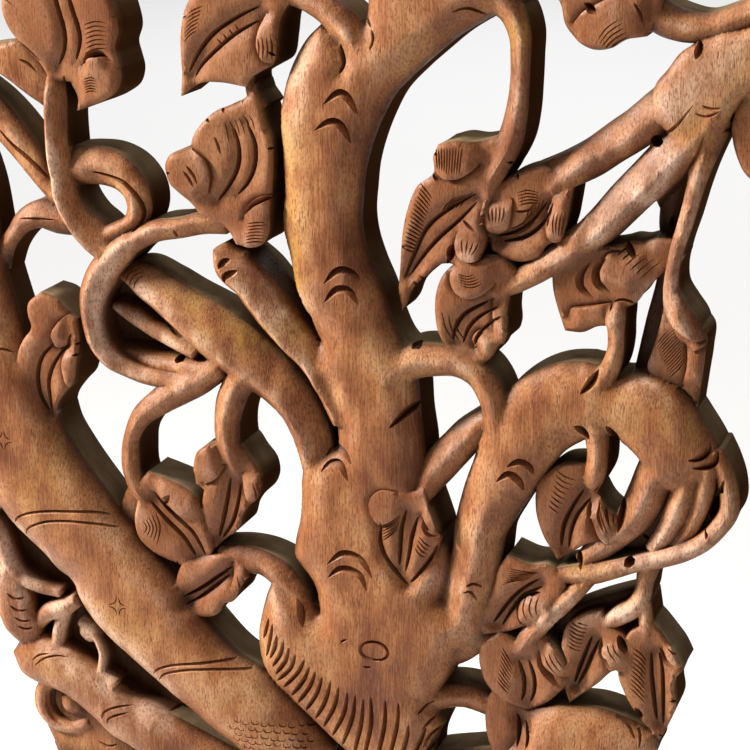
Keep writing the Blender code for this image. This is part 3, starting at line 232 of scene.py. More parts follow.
# outline, and a spine of x, z, crown height
plates = {
    "trunk": {
        "outline": [
            (-36, 232), (-46, 222), (-54, 209), (-61, 190), (-64, 172), (-63, 150), (-62, 122), (-62, 94),
            (-58, 76), (-52, 50), (-44, 36), (-37, 22), (-46, 4), (-34, -16), (-26, -35), (-25, -52),
            (-45, -58), (-51, -72), (-52, -90), (-53, -105), (-57, -124), (-57, -133), (-51, -141),
            (-43, -152), (-39, -171), (-46, -165), (-60, -156), (-73, -151), (-78, -163), (-82.5, -179),
            (-85, -194), (-84, -208), (-80, -220), (-72, -231), (-61, -241), (-50, -251), (-38, -262),
            (-26, -273), (-10, -283), (10, -290), (30, -288), (42, -276), (45, -258), (51, -243),
            (44, -229), (50, -216), (57, -204), (62, -190), (69, -177), (75, -163), (58, -156), (50, -151),
            (53, -140), (55, -127), (53, -115), (49, -105), (45, -94), (41, -83), (38, -72), (37, -60),
            (36, -45), (33, -25), (31, 0), (27, 18), (19, 28), (12.5, 42), (6.5, 60), (-1, 77), (-6, 92),
            (-8, 106), (-7, 122), (-5, 140), (-1, 155), (6, 173), (14, 188), (28, 203), (42, 215.5),
            (57, 228), (73, 238), (100, 252), (100, 275), (-6, 275), (-4, 250), (-6, 236), (-18, 226),
        ],
        "spine": [
            (20, 240, 45), (-24, 190, 46), (-34, 120, 46), (-14, 0, 46), (-5, -100, 46), (0, -190, 46),
            (5, -280, 40),
        ],
        "shoulder": 25, "drop": 16,
    },
    "webStub": {
        "outline": [
            (-108, 82), (-97, 85), (-85, 78), (-76, 71), (-66, 60), (-52, 46), (-36, 22), (-60, 26),
            (-90, 50),
        ],
        "spine": [(-80, 70, 15), (-50, 40, 15)], "shoulder": 2, "drop": 1,
    },
    "floorCurl": {
        "outline": [
            (-200, 40), (-184, 62), (-160, 48), (-130, 26), (-114, 4), (-130, -14), (-160, -14), (-190, -4),
            (-201, 14),
        ],
        "spine": [(-180, 30, 11), (-140, 0, 11)], "shoulder": 2, "drop": 1,
    },
    "leafTopLeft": {
        "outline": [
            (-262, 280), (-258, 250), (-258, 232), (-252, 219), (-243, 209), (-234, 200), (-228, 188),
            (-212, 187), (-207, 176), (-208, 168), (-196, 172), (-185, 177), (-176, 184), (-173, 195),
            (-175, 204), (-177, 212), (-174, 223), (-176.5, 237), (-182, 250), (-189, 265), (-190, 280),
        ],
        "spine": [(-222, 186, 36), (-216, 204, 42), (-214, 225, 44), (-216, 255, 42), (-218, 280, 40)],
        "shoulder": 9, "drop": 5,
    },
    "lobeTopLeft": {
        "outline": [
            (-292, 206), (-276, 209), (-262, 211), (-250, 214), (-240, 208), (-230, 194), (-226, 182),
            (-234, 169), (-247, 177), (-263, 188), (-280, 197), (-292, 202),
        ],
        "spine": [(-230, 186, 34), (-262, 202, 36), (-290, 206, 32)], "shoulder": 8, "drop": 7,
    },
    "leafTopCentre": {
        "outline": [
            (-133, 181), (-131.5, 205), (-130.5, 224), (-127.5, 238), (-121, 250), (-104, 264), (-60, 280),
            (-46, 262), (-54, 248), (-60, 236), (-62, 222), (-66, 206), (-74, 201), (-82, 196), (-86, 190),
            (-104, 192), (-119, 190.5),
        ],
        "spine": [(-56, 248, 40), (-78, 236, 42), (-96, 226, 43), (-112, 210, 41), (-128, 188, 37)],
        "shoulder": 8, "drop": 5,
    },
    "leafSecond": {
        "outline": [
            (-103, 95), (-111, 98), (-120, 103), (-126, 110), (-135, 117.5), (-142, 126), (-144, 135),
            (-139, 143), (-126, 148), (-123, 157), (-117, 165), (-107, 173.5), (-94, 178.5), (-86, 184),
            (-81, 192), (-77, 180), (-73, 167), (-68, 154), (-67, 140), (-68, 124), (-69, 108), (-70, 94),
            (-75, 86), (-84, 83), (-95, 84),
        ],
        "spine": [(-102, 98, 38), (-94, 116, 41), (-89, 136, 42), (-89, 156, 41), (-86, 184, 36)],
        "shoulder": 9, "drop": 6,
    },
    "leafCentreRight": {
        "outline": [
            (19, 46), (17, 62), (19, 80), (21, 98), (25, 116), (32, 132), (42.5, 141), (43, 152),
            (46.5, 160), (57, 163), (70, 162.5), (82, 166), (94, 174), (98, 160), (92, 145), (82, 128),
            (76, 112), (78, 98), (73, 85), (66, 80), (56, 81), (49, 81), (37, 72), (27, 62), (22, 50),
        ],
        "spine": [(21, 52, 34), (36, 92, 40), (52, 116, 43), (72, 130, 43), (90, 150, 40)],
        "shoulder": 9, "drop": 6,
    },
    "leafCentreFar": {
        "outline": [
            (78, 126), (88, 138), (102, 145), (117, 147), (127, 140), (134, 136), (132, 122), (129.5, 109),
            (126, 101), (118, 98), (112, 90), (102, 86), (90, 87), (80, 92), (76, 108),
        ],
        "spine": [(80, 98, 38), (100, 108, 40), (116, 124, 40), (128, 138, 36)], "shoulder": 8, "drop": 6,
    },
    "leafMid": {
        "outline": [
            (44, 60), (43.5, 46), (45, 35), (51, 23), (61, 16), (74, 15), (83, 22), (87, 29), (91, 32),
            (93, 38), (92.5, 50), (94, 64), (98, 80), (88, 88), (74, 88), (60, 84), (49, 74),
        ],
        "spine": [(92, 68, 40), (79, 58, 42), (65, 46, 41), (56, 26, 37)], "shoulder": 9, "drop": 7,
    },
    "leafMidRight": {
        "outline": [
            (120, 86), (122, 66), (126, 53), (130, 42), (142, 42), (152, 47), (162, 48), (166, 58),
            (176, 64), (183, 74), (192, 84), (200, 92), (198, 106), (187, 106), (178, 103), (170, 103),
            (164, 101), (154, 99), (142, 97),
        ],
        "spine": [(164, 62, 38), (158, 74, 38), (146, 84, 37), (182, 90, 35)], "shoulder": 7, "drop": 6,
    },
    "leafRight": {
        "outline": [
            (194, 68), (191, 50), (187, 34), (184, 20), (188, 13), (202, 11), (210, 6), (217, -4),
            (219, 14), (221, 32), (221, 48), (214, 56),
        ],
        "spine": [(208, 52, 36), (202, 32, 34), (200, 14, 34)], "shoulder": 7, "drop": 5,
    },
    "shelfRight": {
        "outline": [
            (202, 102), (188, 100), (184, 72), (179, 50), (175, 30), (172, 14), (186, 10), (196, 20),
            (198, 60),
        ],
        "spine": [(190, 90, 17), (182, 30, 17)], "shoulder": 3, "drop": 2,
    },
    "junctionRight": {
        "outline": [
            (199, 224), (208, 230), (222, 236), (240, 241), (262, 252), (282, 262), (282, 206), (262, 208),
            (250, 205), (239, 197), (230, 182), (224, 165), (211, 156), (196, 170), (184, 184), (184, 204),
            (191, 213),
        ],
        "spine": [(280, 232, 42), (240, 216, 43), (214, 190, 43), (212, 166, 42)],
        "shoulder": 12, "drop": 8,
    },
    "leafEdgeRight": {
        "outline": [
            (247, 207), (236, 194), (232, 179), (235, 163), (242, 150), (252, 143), (282, 140), (282, 214),
        ],
        "spine": [(250, 160, 38), (258, 205, 38)], "shoulder": 8, "drop": 6,
    },
    "leafTopRight": {
        "outline": [
            (112, 280), (117, 262), (123, 250), (126, 238), (133, 229.5), (144, 223.5), (156, 225),
            (166, 231), (178, 233), (186, 250), (184, 280),
        ],
        "spine": [(178, 250, 40), (156, 244, 41), (138, 234, 37)], "shoulder": 9, "drop": 6,
    },
    "hood": {
        "outline": [
            (142, 22), (152, 21), (166, 15), (180, 17), (198, 13), (212, 3), (222, -10.5), (231.5, -25),
            (239, -40), (245, -54), (241, -58), (233, -46), (222, -54), (206, -60), (190, -56), (182, -42),
            (172, -32), (162, -26), (148, -27), (134, -35), (124, -20), (130, 0),
        ],
        "spine": [(140, -4, 44), (178, -8, 45), (210, -20, 45), (234, -40, 42)], "shoulder": 20, "drop": 12,
    },
    "fingerWeb": {
        "outline": [
            (186, -40), (178, -66), (168, -84), (148, -106), (162, -108), (174, -105), (186, -106),
            (212, -96), (226, -85), (236, -66), (240, -44), (215, -40),
        ],
        "spine": [(210, -60, 25), (180, -95, 23)], "shoulder": 2, "drop": 1,
    },
    "leafInnerRight": {
        "outline": [
            (114, -64), (113, -80), (117, -96), (127.5, -116), (139, -108), (147, -102), (158, -98),
            (167, -93), (169, -81), (160, -74), (153, -62), (146, -46), (128, -49),
        ],
        "spine": [(151, -56, 36), (138, -76, 38), (132, -92, 38), (129, -111, 34)],
        "shoulder": 7, "drop": 6,
    },
    "leafTrunk": {
        "outline": [
            (4, -80), (2, -88), (6, -98), (9, -103), (9, -114), (12, -123), (18, -131), (27, -141),
            (34, -131), (41, -123), (47, -115), (49, -105), (46, -95), (42, -84), (38, -72), (30, -75),
            (20, -75), (11, -77),
        ],
        "spine": [(32, -76, 44), (30, -98, 45), (26, -122, 44), (26, -139, 42)], "shoulder": 6, "drop": 4,
    },
    "leafSpearLeft": {
        "outline": [
            (89, -124), (95, -114), (112, -119), (122, -118), (132, -124), (135, -132), (130, -141),
            (122, -151), (113, -161), (104, -165), (94, -170), (78, -174), (76, -167), (81, -151),
            (86, -137),
        ],
        "spine": [(126, -128, 38), (108, -134, 40), (94, -150, 39), (79, -171, 36)],
        "shoulder": 7, "drop": 5,
    },
    "leafLowCentre": {
        "outline": [
            (76, -180), (90, -170), (108, -176), (121, -169), (131, -178), (138, -190), (137, -201),
            (130, -211), (120, -220), (108, -226), (95, -221), (82, -211), (76, -195),
        ],
        "spine": [(104, -180, 37), (106, -200, 38), (107, -223, 35)], "shoulder": 8, "drop": 6,
    },
    "leafLowest": {
        "outline": [
            (81, -222), (85, -213), (98, -220), (110, -226), (122, -221), (128, -228), (123, -241),
            (119, -256), (110, -270), (94, -270), (84, -256), (80, -240),
        ],
        "spine": [(108, -224, 33), (104, -244, 35), (104, -268, 33)], "shoulder": 7, "drop": 5,
    },
    "shelfLowRight": {
        "outline": [
            (124, -172), (128, -160), (137, -152.5), (152, -144.5), (170, -137), (188, -131), (189, -150),
            (178, -166), (150, -174),
        ],
        "spine": [(130, -166, 21), (180, -142, 21)], "shoulder": 3, "drop": 2,
    },
    "leafLowMid": {
        "outline": [
            (136, -160), (147, -151), (158, -148), (166, -157), (176, -164), (180, -176), (176, -187),
            (168, -189), (158, -199), (148, -208), (138, -217), (134, -200), (137, -186), (133, -174),
        ],
        "spine": [(158, -154, 36), (152, -172, 38), (145, -192, 37), (138, -213, 34)],
        "shoulder": 7, "drop": 5,
    },
    "leafLowRight": {
        "outline": [
            (178, -160), (174, -174), (171, -188), (176, -203), (185, -218), (200, -236), (206.5, -222),
            (211, -208), (209.5, -196), (210, -189), (215.5, -181), (211, -172), (204, -163), (198, -156),
            (192, -150), (186, -154),
        ],
        "spine": [(191, -158, 36), (195, -180, 38), (199, -205, 38), (199, -232, 34)],
        "shoulder": 7, "drop": 5,
    },
    "limbBottomRight": {
        "outline": [
            (38, -269), (70, -261), (96, -256), (108, -234), (120, -222), (130, -218), (142, -218),
            (158, -218), (172, -221), (186, -226), (198, -231), (199.5, -242), (191, -254), (176, -267),
            (160, -284), (130, -298), (90, -314), (-110, -330), (-110, -300), (-60, -285), (0, -290),
        ],
        "spine": [(-90, -310, 38), (20, -300, 40), (100, -278, 43), (156, -248, 44), (192, -246, 42)],
        "shoulder": 22, "drop": 14,
    },
    "leafLeft": {
        "outline": [
            (-250, 31), (-240, 41), (-229, 38), (-220, 29), (-213, 24), (-212, 10), (-213, -8), (-216, -21),
            (-224, -30), (-231, -40), (-233, -52), (-231, -68), (-240, -58), (-249, -46), (-255, -33),
            (-259, -18), (-259, -5), (-254, 6), (-248, 15), (-250, 23),
        ],
        "spine": [(-224, 18, 38), (-234, 0, 41), (-242, -20, 41), (-242, -46, 39), (-232, -65, 36)],
        "shoulder": 8, "drop": 6,
    },
    "limbLeft": {
        "outline": [
            (-310, 172), (-294, 150), (-281, 118), (-275, 84), (-270, 54), (-262, 26), (-254, 0),
            (-240, -24), (-233, -42), (-229, -56), (-219.5, -72), (-208, -88), (-197, -102), (-186, -118),
            (-172, -132), (-158, -146), (-144, -160), (-132, -177), (-119.5, -192), (-100.5, -210.5),
            (-80, -222), (-50, -250), (-30, -275), (-40, -330), (-70, -308), (-92, -292), (-108, -281),
            (-123, -270), (-138, -259), (-153, -248), (-168, -236), (-186, -222), (-202, -209),
            (-214, -196), (-222, -183), (-227, -171), (-237, -164), (-249, -152), (-261, -142),
            (-274, -130), (-285, -115), (-299, -90), (-330, -70), (-330, 150),
        ],
        "spine": [
            (-310, 120, 38), (-298, 40, 42), (-278, -40, 46), (-250, -95, 46), (-200, -160, 46),
            (-140, -218, 46), (-80, -262, 44), (-40, -290, 38),
        ],
        "shoulder": 30, "drop": 18,
    },
    "limbLow": {
        "outline": [
            (-281, -236), (-272, -224), (-257, -219), (-240, -224), (-226, -231), (-212, -239),
            (-198, -248), (-183, -257), (-165, -263), (-145, -271), (-120, -281), (-100, -290), (-80, -300),
            (-70, -328), (-170, -334), (-182, -300), (-202, -289), (-214, -279), (-226, -270), (-240, -262),
            (-258, -258), (-273, -251),
        ],
        "spine": [(-262, -231, 32), (-230, -246, 36), (-190, -272, 37), (-140, -296, 37), (-110, -310, 36)],
        "shoulder": 17, "drop": 12,
    },
    "floorFigure": {
        "outline": [
            (-292, -132), (-270, -138), (-240, -160), (-222, -180), (-205, -206), (-180, -226),
            (-150, -250), (-150, -268), (-190, -256), (-230, -236), (-268, -226), (-290, -200),
        ],
        "spine": [(-270, -160, 10), (-170, -246, 10)], "shoulder": 2, "drop": 1,
    },
    "body": {
        "outline": [
            (-291, -168), (-279, -165), (-270, -174), (-264, -186), (-260, -200), (-256, -214),
            (-258, -226), (-271, -230), (-283, -220), (-290, -204), (-292, -184),
        ],
        "spine": [(-281, -172, 31), (-274, -196, 32), (-264, -220, 30)], "shoulder": 9, "drop": 9,
    },
    "knob": {
        "outline": [
            (-228, -208), (-222, -203), (-214, -205), (-210, -213), (-213, -221), (-221, -222),
            (-228, -216),
        ],
        "spine": [(-220, -212, 25), (-217, -214, 25)], "shoulder": 7, "drop": 6,
    },
    "ball": {
        "outline": [
            (-244, -266), (-238, -261), (-230, -262), (-225, -269), (-227, -277), (-235, -281),
            (-242, -276),
        ],
        "spine": [(-236, -270, 27), (-233, -271, 27)], "shoulder": 8, "drop": 7,
    },
    "robe": {
        "outline": [
            (-264, -272), (-254, -250), (-236, -254), (-214, -270), (-200, -282), (-182, -296),
            (-166, -332), (-247, -334), (-250, -312), (-255, -299), (-261, -287),
        ],
        "spine": [(-250, -270, 20), (-230, -296, 24), (-200, -306, 26)], "shoulder": 8, "drop": 6,
    },
    "leafLow": {
        "outline": [
            (-144, -176), (-145, -161), (-139, -147), (-124, -141), (-108, -138), (-97, -141), (-90, -151),
            (-96, -160), (-102, -171), (-109, -174), (-112, -180), (-121, -185), (-134, -184),
        ],
        "spine": [(-98, -146, 36), (-112, -155, 38), (-126, -166, 38), (-141, -177, 35)],
        "shoulder": 7, "drop": 5,
    },
    "leafSickle": {
        "outline": [
            (-172, -92), (-164, -82), (-150, -86), (-138, -90), (-127, -97), (-123, -112), (-117, -134),
            (-121, -146), (-133, -151), (-147, -147), (-162, -141), (-172, -132), (-175, -118),
            (-173, -106),
        ],
        "spine": [(-166, -98, 36), (-152, -114, 38), (-138, -130, 38), (-126, -147, 35)],
        "shoulder": 7, "drop": 5,
    },
    "dropletLeft": {
        "outline": [
            (-180, -92), (-187, -106), (-192, -117), (-190, -127), (-183, -131), (-176, -126), (-170, -112),
            (-170, -98),
        ],
        "spine": [(-176, -98, 32), (-183, -124, 28)], "shoulder": 5, "drop": 4,
    },
    "leafStub": {
        "outline": [
            (-104, -54), (-116, -56.5), (-126, -64), (-129, -76), (-128, -87), (-122, -91), (-124, -104),
            (-122, -118), (-116.5, -135), (-107.5, -126), (-97, -117), (-94, -107), (-88, -98.5),
            (-83, -94), (-79, -85), (-80.5, -74), (-88, -64), (-95, -55),
        ],
        "spine": [(-100, -66, 38), (-104, -86, 39), (-110, -108, 38), (-117, -131, 34)],
        "shoulder": 7, "drop": 6,
    },
}

gougeRoutes = {
    "vein": [
        [(-226, 262), (-219, 243), (-213, 222), (-214, 209), (-220, 198)],
        [(-214, 258), (-209, 243), (-203, 225), (-202, 215), (-206, 202)],
        [(-127, 197), (-118, 212), (-106, 225), (-91, 235), (-75, 243)],
        [(-123, 194), (-117, 203), (-105, 214), (-91, 225), (-75, 234)],
        [(-95, 163), (-91, 150), (-92, 137), (-98, 125), (-107, 113)],
        [(-86, 166), (-80, 153), (-80, 139), (-85, 127), (-93, 118)],
        [(21, 68), (27, 82), (38, 104), (52, 117), (71, 129)],
        [(25, 71), (34, 84), (46, 98), (60, 111), (72, 124)],
        [(84, 101), (96, 105), (107, 113), (117, 126)], [(88, 98), (102, 102), (113, 110), (120, 121)],
        [(-230, 6), (-240, -5), (-244, -19), (-243, -33), (-238, -46)],
        [(-223, 3), (-232, -11), (-236, -23), (-236, -35), (-237, -46)],
        [(-164, -104), (-150, -117), (-138, -128), (-130, -142)],
        [(-160, -100), (-143, -114), (-131, -124), (-123, -141)],
        [(-102, -80), (-105, -97), (-109, -113), (-114, -127)],
        [(-95, -84), (-97, -98), (-102, -113), (-112, -128)],
        [(-140, -173), (-126, -164), (-113, -154), (-103, -146)],
        [(-138, -178), (-127, -171), (-115, -161), (-105, -152)],
        [(26, -88), (23, -101), (22, -115), (21, -129)], [(34, -92), (30, -107), (28, -120), (25, -133)],
        [(80, 59), (64, 49), (57, 38), (55, 29)], [(87, 56), (74, 48), (66, 39), (62, 28)],
        [(89, 50), (80, 43), (73, 35), (70, 27)], [(145, -64), (137, -78), (132, -91), (130, -107)],
        [(150, -69), (141, -82), (137, -94), (135, -107)],
        [(117, -129), (107, -136), (96, -148), (85, -165)],
        [(119, -134), (107, -142), (99, -152), (91, -166)],
        [(103, -189), (107, -201), (107, -212), (105, -220)],
        [(110, -188), (114, -200), (114, -211), (111, -220)],
        [(153, -166), (149, -178), (145, -190), (141, -203)],
        [(158, -168), (153, -180), (149, -191), (143, -204)],
        [(193, -172), (194, -187), (196, -204), (198, -222)],
        [(198, -171), (201, -184), (202, -202), (202, -224)],
        [(-268, 152), (-259, 143), (-247, 134), (-239, 127), (-232, 120)],
        [(-199, 127), (-187, 125), (-175, 121), (-166, 112), (-162, 102), (-165, 93), (-171, 87)],
        [(102, -230), (104, -240), (103, -253)], [(107, -233), (111, -243), (110, -252)],
        [(-21, 221), (-18, 213), (-17, 208), (-20, 202)],
        [(9, -98), (8, -110), (11, -121), (18, -132), (27, -142)],
        [(48, -110), (43, -121), (36, -131), (28, -141)],
    ],
    "crescent": [
        [(-30, 182), (-20, 190), (-13, 187), (-7, 176)], [(-36, 165), (-26, 171), (-18, 169), (-12, 157)],
        [(-30, 64), (-21, 73), (-12, 72), (-6, 66)], [(-30, 51), (-22, 60), (-13, 60), (-7, 51)],
        [(-32, -57), (-27, -52), (-19, -52), (-12, -59)], [(-34, -67), (-28, -61), (-20, -61), (-14, -71)],
        [(-29, -132), (-18, -123), (-5, -126), (3, -138)],
        [(-29, -142), (-19, -134), (-6, -137), (-1, -148)],
        [(95, -51), (103, -47), (110, -50), (112, -56)], [(88, -62), (96, -56), (103, -60), (106, -68)],
        [(226, -22), (226, -28), (221, -33), (214, -35)], [(232, -27), (230, -36), (223, -39), (217, -40)],
        [(-107, 67), (-103, 72), (-98, 73)], [(-102, 56), (-102, 62), (-92, 67)],
        [(-53, -161), (-50, -170), (-48, -181)], [(146, 89), (140, 81), (140, 72), (149, 65)],
        [(156, 92), (150, 84), (151, 75), (160, 69)], [(-66, 119), (-74, 117), (-82, 113), (-88, 105)],
        [(-181, 205), (-188, 208), (-195, 206), (-201, 200)],
        [(149, -70), (150, -84), (156, -97), (166, -101)],
        [(118, -138), (108, -142), (103, -151), (105, -162)],
        [(117, -179), (119, -190), (127, -200), (134, -206)], [(159, -167), (161, -179), (168, -187)],
        [(198, -168), (204, -177), (216, -180)], [(37, -91), (41, -101), (50, -105)],
        [(-194, -243), (-192, -248), (-194, -253)], [(-190, -244), (-188, -250), (-189, -257)],
        [(-146, -96), (-152, -103), (-155, -106)],
    ],
    "band": [
        [(-267, -131), (-262, -124), (-248, -118), (-226, -115), (-203, -114), (-190, -117)],
        [(-259, -140), (-255, -132), (-242, -125), (-224, -122), (-203, -122), (-184, -125)],
        [(-163, -234), (-158, -227), (-145, -221), (-124, -217), (-104, -214), (-90, -212)],
        [(-159, -238), (-153, -230), (-138, -224), (-118, -221), (-92, -220), (-80, -219)],
    ],
    "flute": [
        [(-73.4, -177.7), (-75.6, -185.8), (-78.5, -194.5)],
        [(-70, -180.9), (-72.2, -192.6), (-76.4, -207.5)],
        [(-66.5, -188.3), (-68.6, -198.2), (-73.4, -208.4)],
        [(-61.5, -191.6), (-64.3, -202.5), (-71.6, -214.2)],
        [(-57.4, -196.2), (-60.7, -207.5), (-69.8, -220)],
        [(-52.8, -200.5), (-57.1, -212.4), (-69.2, -225.3)],
        [(-46.2, -203.3), (-51.6, -214.8), (-64.9, -230.2)],
        [(-42.6, -208.3), (-48, -221), (-59.5, -236.2)],
        [(-38.3, -211.4), (-43.2, -224.6), (-55.3, -241.7)],
        [(-33.5, -215), (-38.3, -229.5), (-49.2, -246.4)],
        [(-27.4, -217.3), (-32.3, -234.8), (-42, -251.6)],
        [(-21.6, -220.9), (-25.6, -237.6), (-35.9, -256.9)],
        [(-15.1, -224.3), (-19, -242.8), (-29.9, -263.4)],
        [(-9.7, -226), (-12.9, -245.7), (-22.6, -269.7)],
        [(-3.9, -227.8), (-6.3, -248.5), (-14.1, -277.1)], [(1.3, -225.9), (1, -247.6), (-6.9, -281.1)],
        [(11.9, -226.5), (10.6, -247.7), (2.8, -281.1)], [(21.2, -227.8), (19.7, -246.6), (11.2, -280.1)],
        [(28.2, -243.2), (25.8, -257.9), (18.5, -279.2)], [(39.7, -244.2), (35.4, -256.8), (25.8, -277.2)],
        [(51.1, -245.3), (43.9, -258.2), (34.2, -273.7)],
    ],
    "line": [
        [(68, -138), (73, -135), (80, -138)], [(66, -143), (71, -141), (76, -148)],
        [(216, 174), (212, 162), (205, 150)], [(-261, -237), (-255, -232), (-246, -230)],
        [(-259, -241), (-251, -234), (-241, -231), (-231, -232)],
        [(-201, -278), (-200, -273), (-193, -269), (-183, -266)],
        [(-206, -276), (-203, -268), (-193, -263), (-180, -261)],
        [(175, -219), (183, -223), (188, -231), (188, -240)], [(170, -221), (179, -225), (185, -234)],
        [(-154, 26), (-146, 19), (-139, 16)], [(-256, 91), (-240, 92), (-225, 92)],
        [(-248, 214), (-240, 208), (-232, 200)], [(-250, 201), (-243, 198), (-237, 192)],
        [(-108, 157), (-105, 151), (-103, 145)], [(-127, 137), (-122, 131), (-119, 124)],
        [(-129, 133), (-125, 128), (-122, 122)], [(1, 232), (3, 225), (1, 218)],
        [(55, 244), (65, 247), (77, 242)], [(-10, 245), (-4, 238), (1, 232)],
        [(210, 188), (217, 186), (226, 190)], [(214, 193), (220, 191), (227, 192)],
        [(209, 193), (200, 181), (190, 172), (184, 168)], [(170, 254), (174, 248), (176, 241)],
        [(62, 112), (67, 108), (72, 104)], [(42, 141), (44, 138), (48, 136)],
        [(96, 119), (105, 120), (111, 127)], [(121, 126), (119, 118), (118, 110)],
        [(160, 58), (162, 64), (168, 66), (175, 64), (178, 59)], [(-20, -189), (-18, -186), (-14, -185)],
        [(-4, -203), (-1, -204), (3, -203)], [(-279, -187), (-273, -191), (-265, -189)],
        [(-277, -196), (-271, -200), (-263, -198)], [(-274, -205), (-268, -208), (-261, -206)],
        [(-272, -212), (-266, -214), (-260, -212)],
        [(-253, -262), (-254, -274), (-249, -283), (-240, -289)],
        [(-249, -262), (-250, -273), (-245, -281), (-236, -285)],
        [(-214, -297), (-206, -300), (-198, -297)], [(-196, -293), (-186, -297), (-176, -295)],
        [(-275, -2), (-268, -1), (-260, -4)], [(162, -67), (161, -76), (164, -87)],
        [(157, -70), (156, -79), (160, -90)], [(46, -226), (40, -229), (34, -236)],
        [(54, -233), (44, -239), (37, -247)], [(50, -245), (42, -252), (37, -262)],
        [(-139, 92), (-138, 88), (-136, 85)], [(-154, -104), (-148, -110), (-142, -113)],
    ],
    "notch": [
        [(154, 20), (149, 10), (143, 3)], [(15, -31), (24, -22), (33, -14), (39, -4)],
        [(167, 107), (170, 100), (175, 93)], [(237, -47), (233, -62), (228, -75), (227, -88)],
        [(169, -60), (171, -74), (169, -90)], [(57, 96), (55, 90), (54, 83)],
        [(171, -162), (174, -168), (178, -174)], [(184, -212), (186, -217), (189, -222)],
        [(142, -105), (143, -112), (145, -119)], [(194, 118), (194, 111), (195, 103)],
        [(210, 233), (211, 227), (209, 221)], [(139, -19), (144, -22), (149, -28)],
        [(160, -17), (164, -23), (169, -31)], [(182, -94), (186, -97), (190, -98)],
        [(138, 252), (142, 250), (147, 246)],
    ],
    "pit": [
        [(-157, 33), (-158, 27)],
        [(-140, 3), (-140, -4)], [(-54, 56), (-54, 50)], [(30, 28), (32, 21)],
        [(190, 168), (181, 168)], [(181, -107), (174, -112)], [(224, 40), (226, 33)],
    ],
}

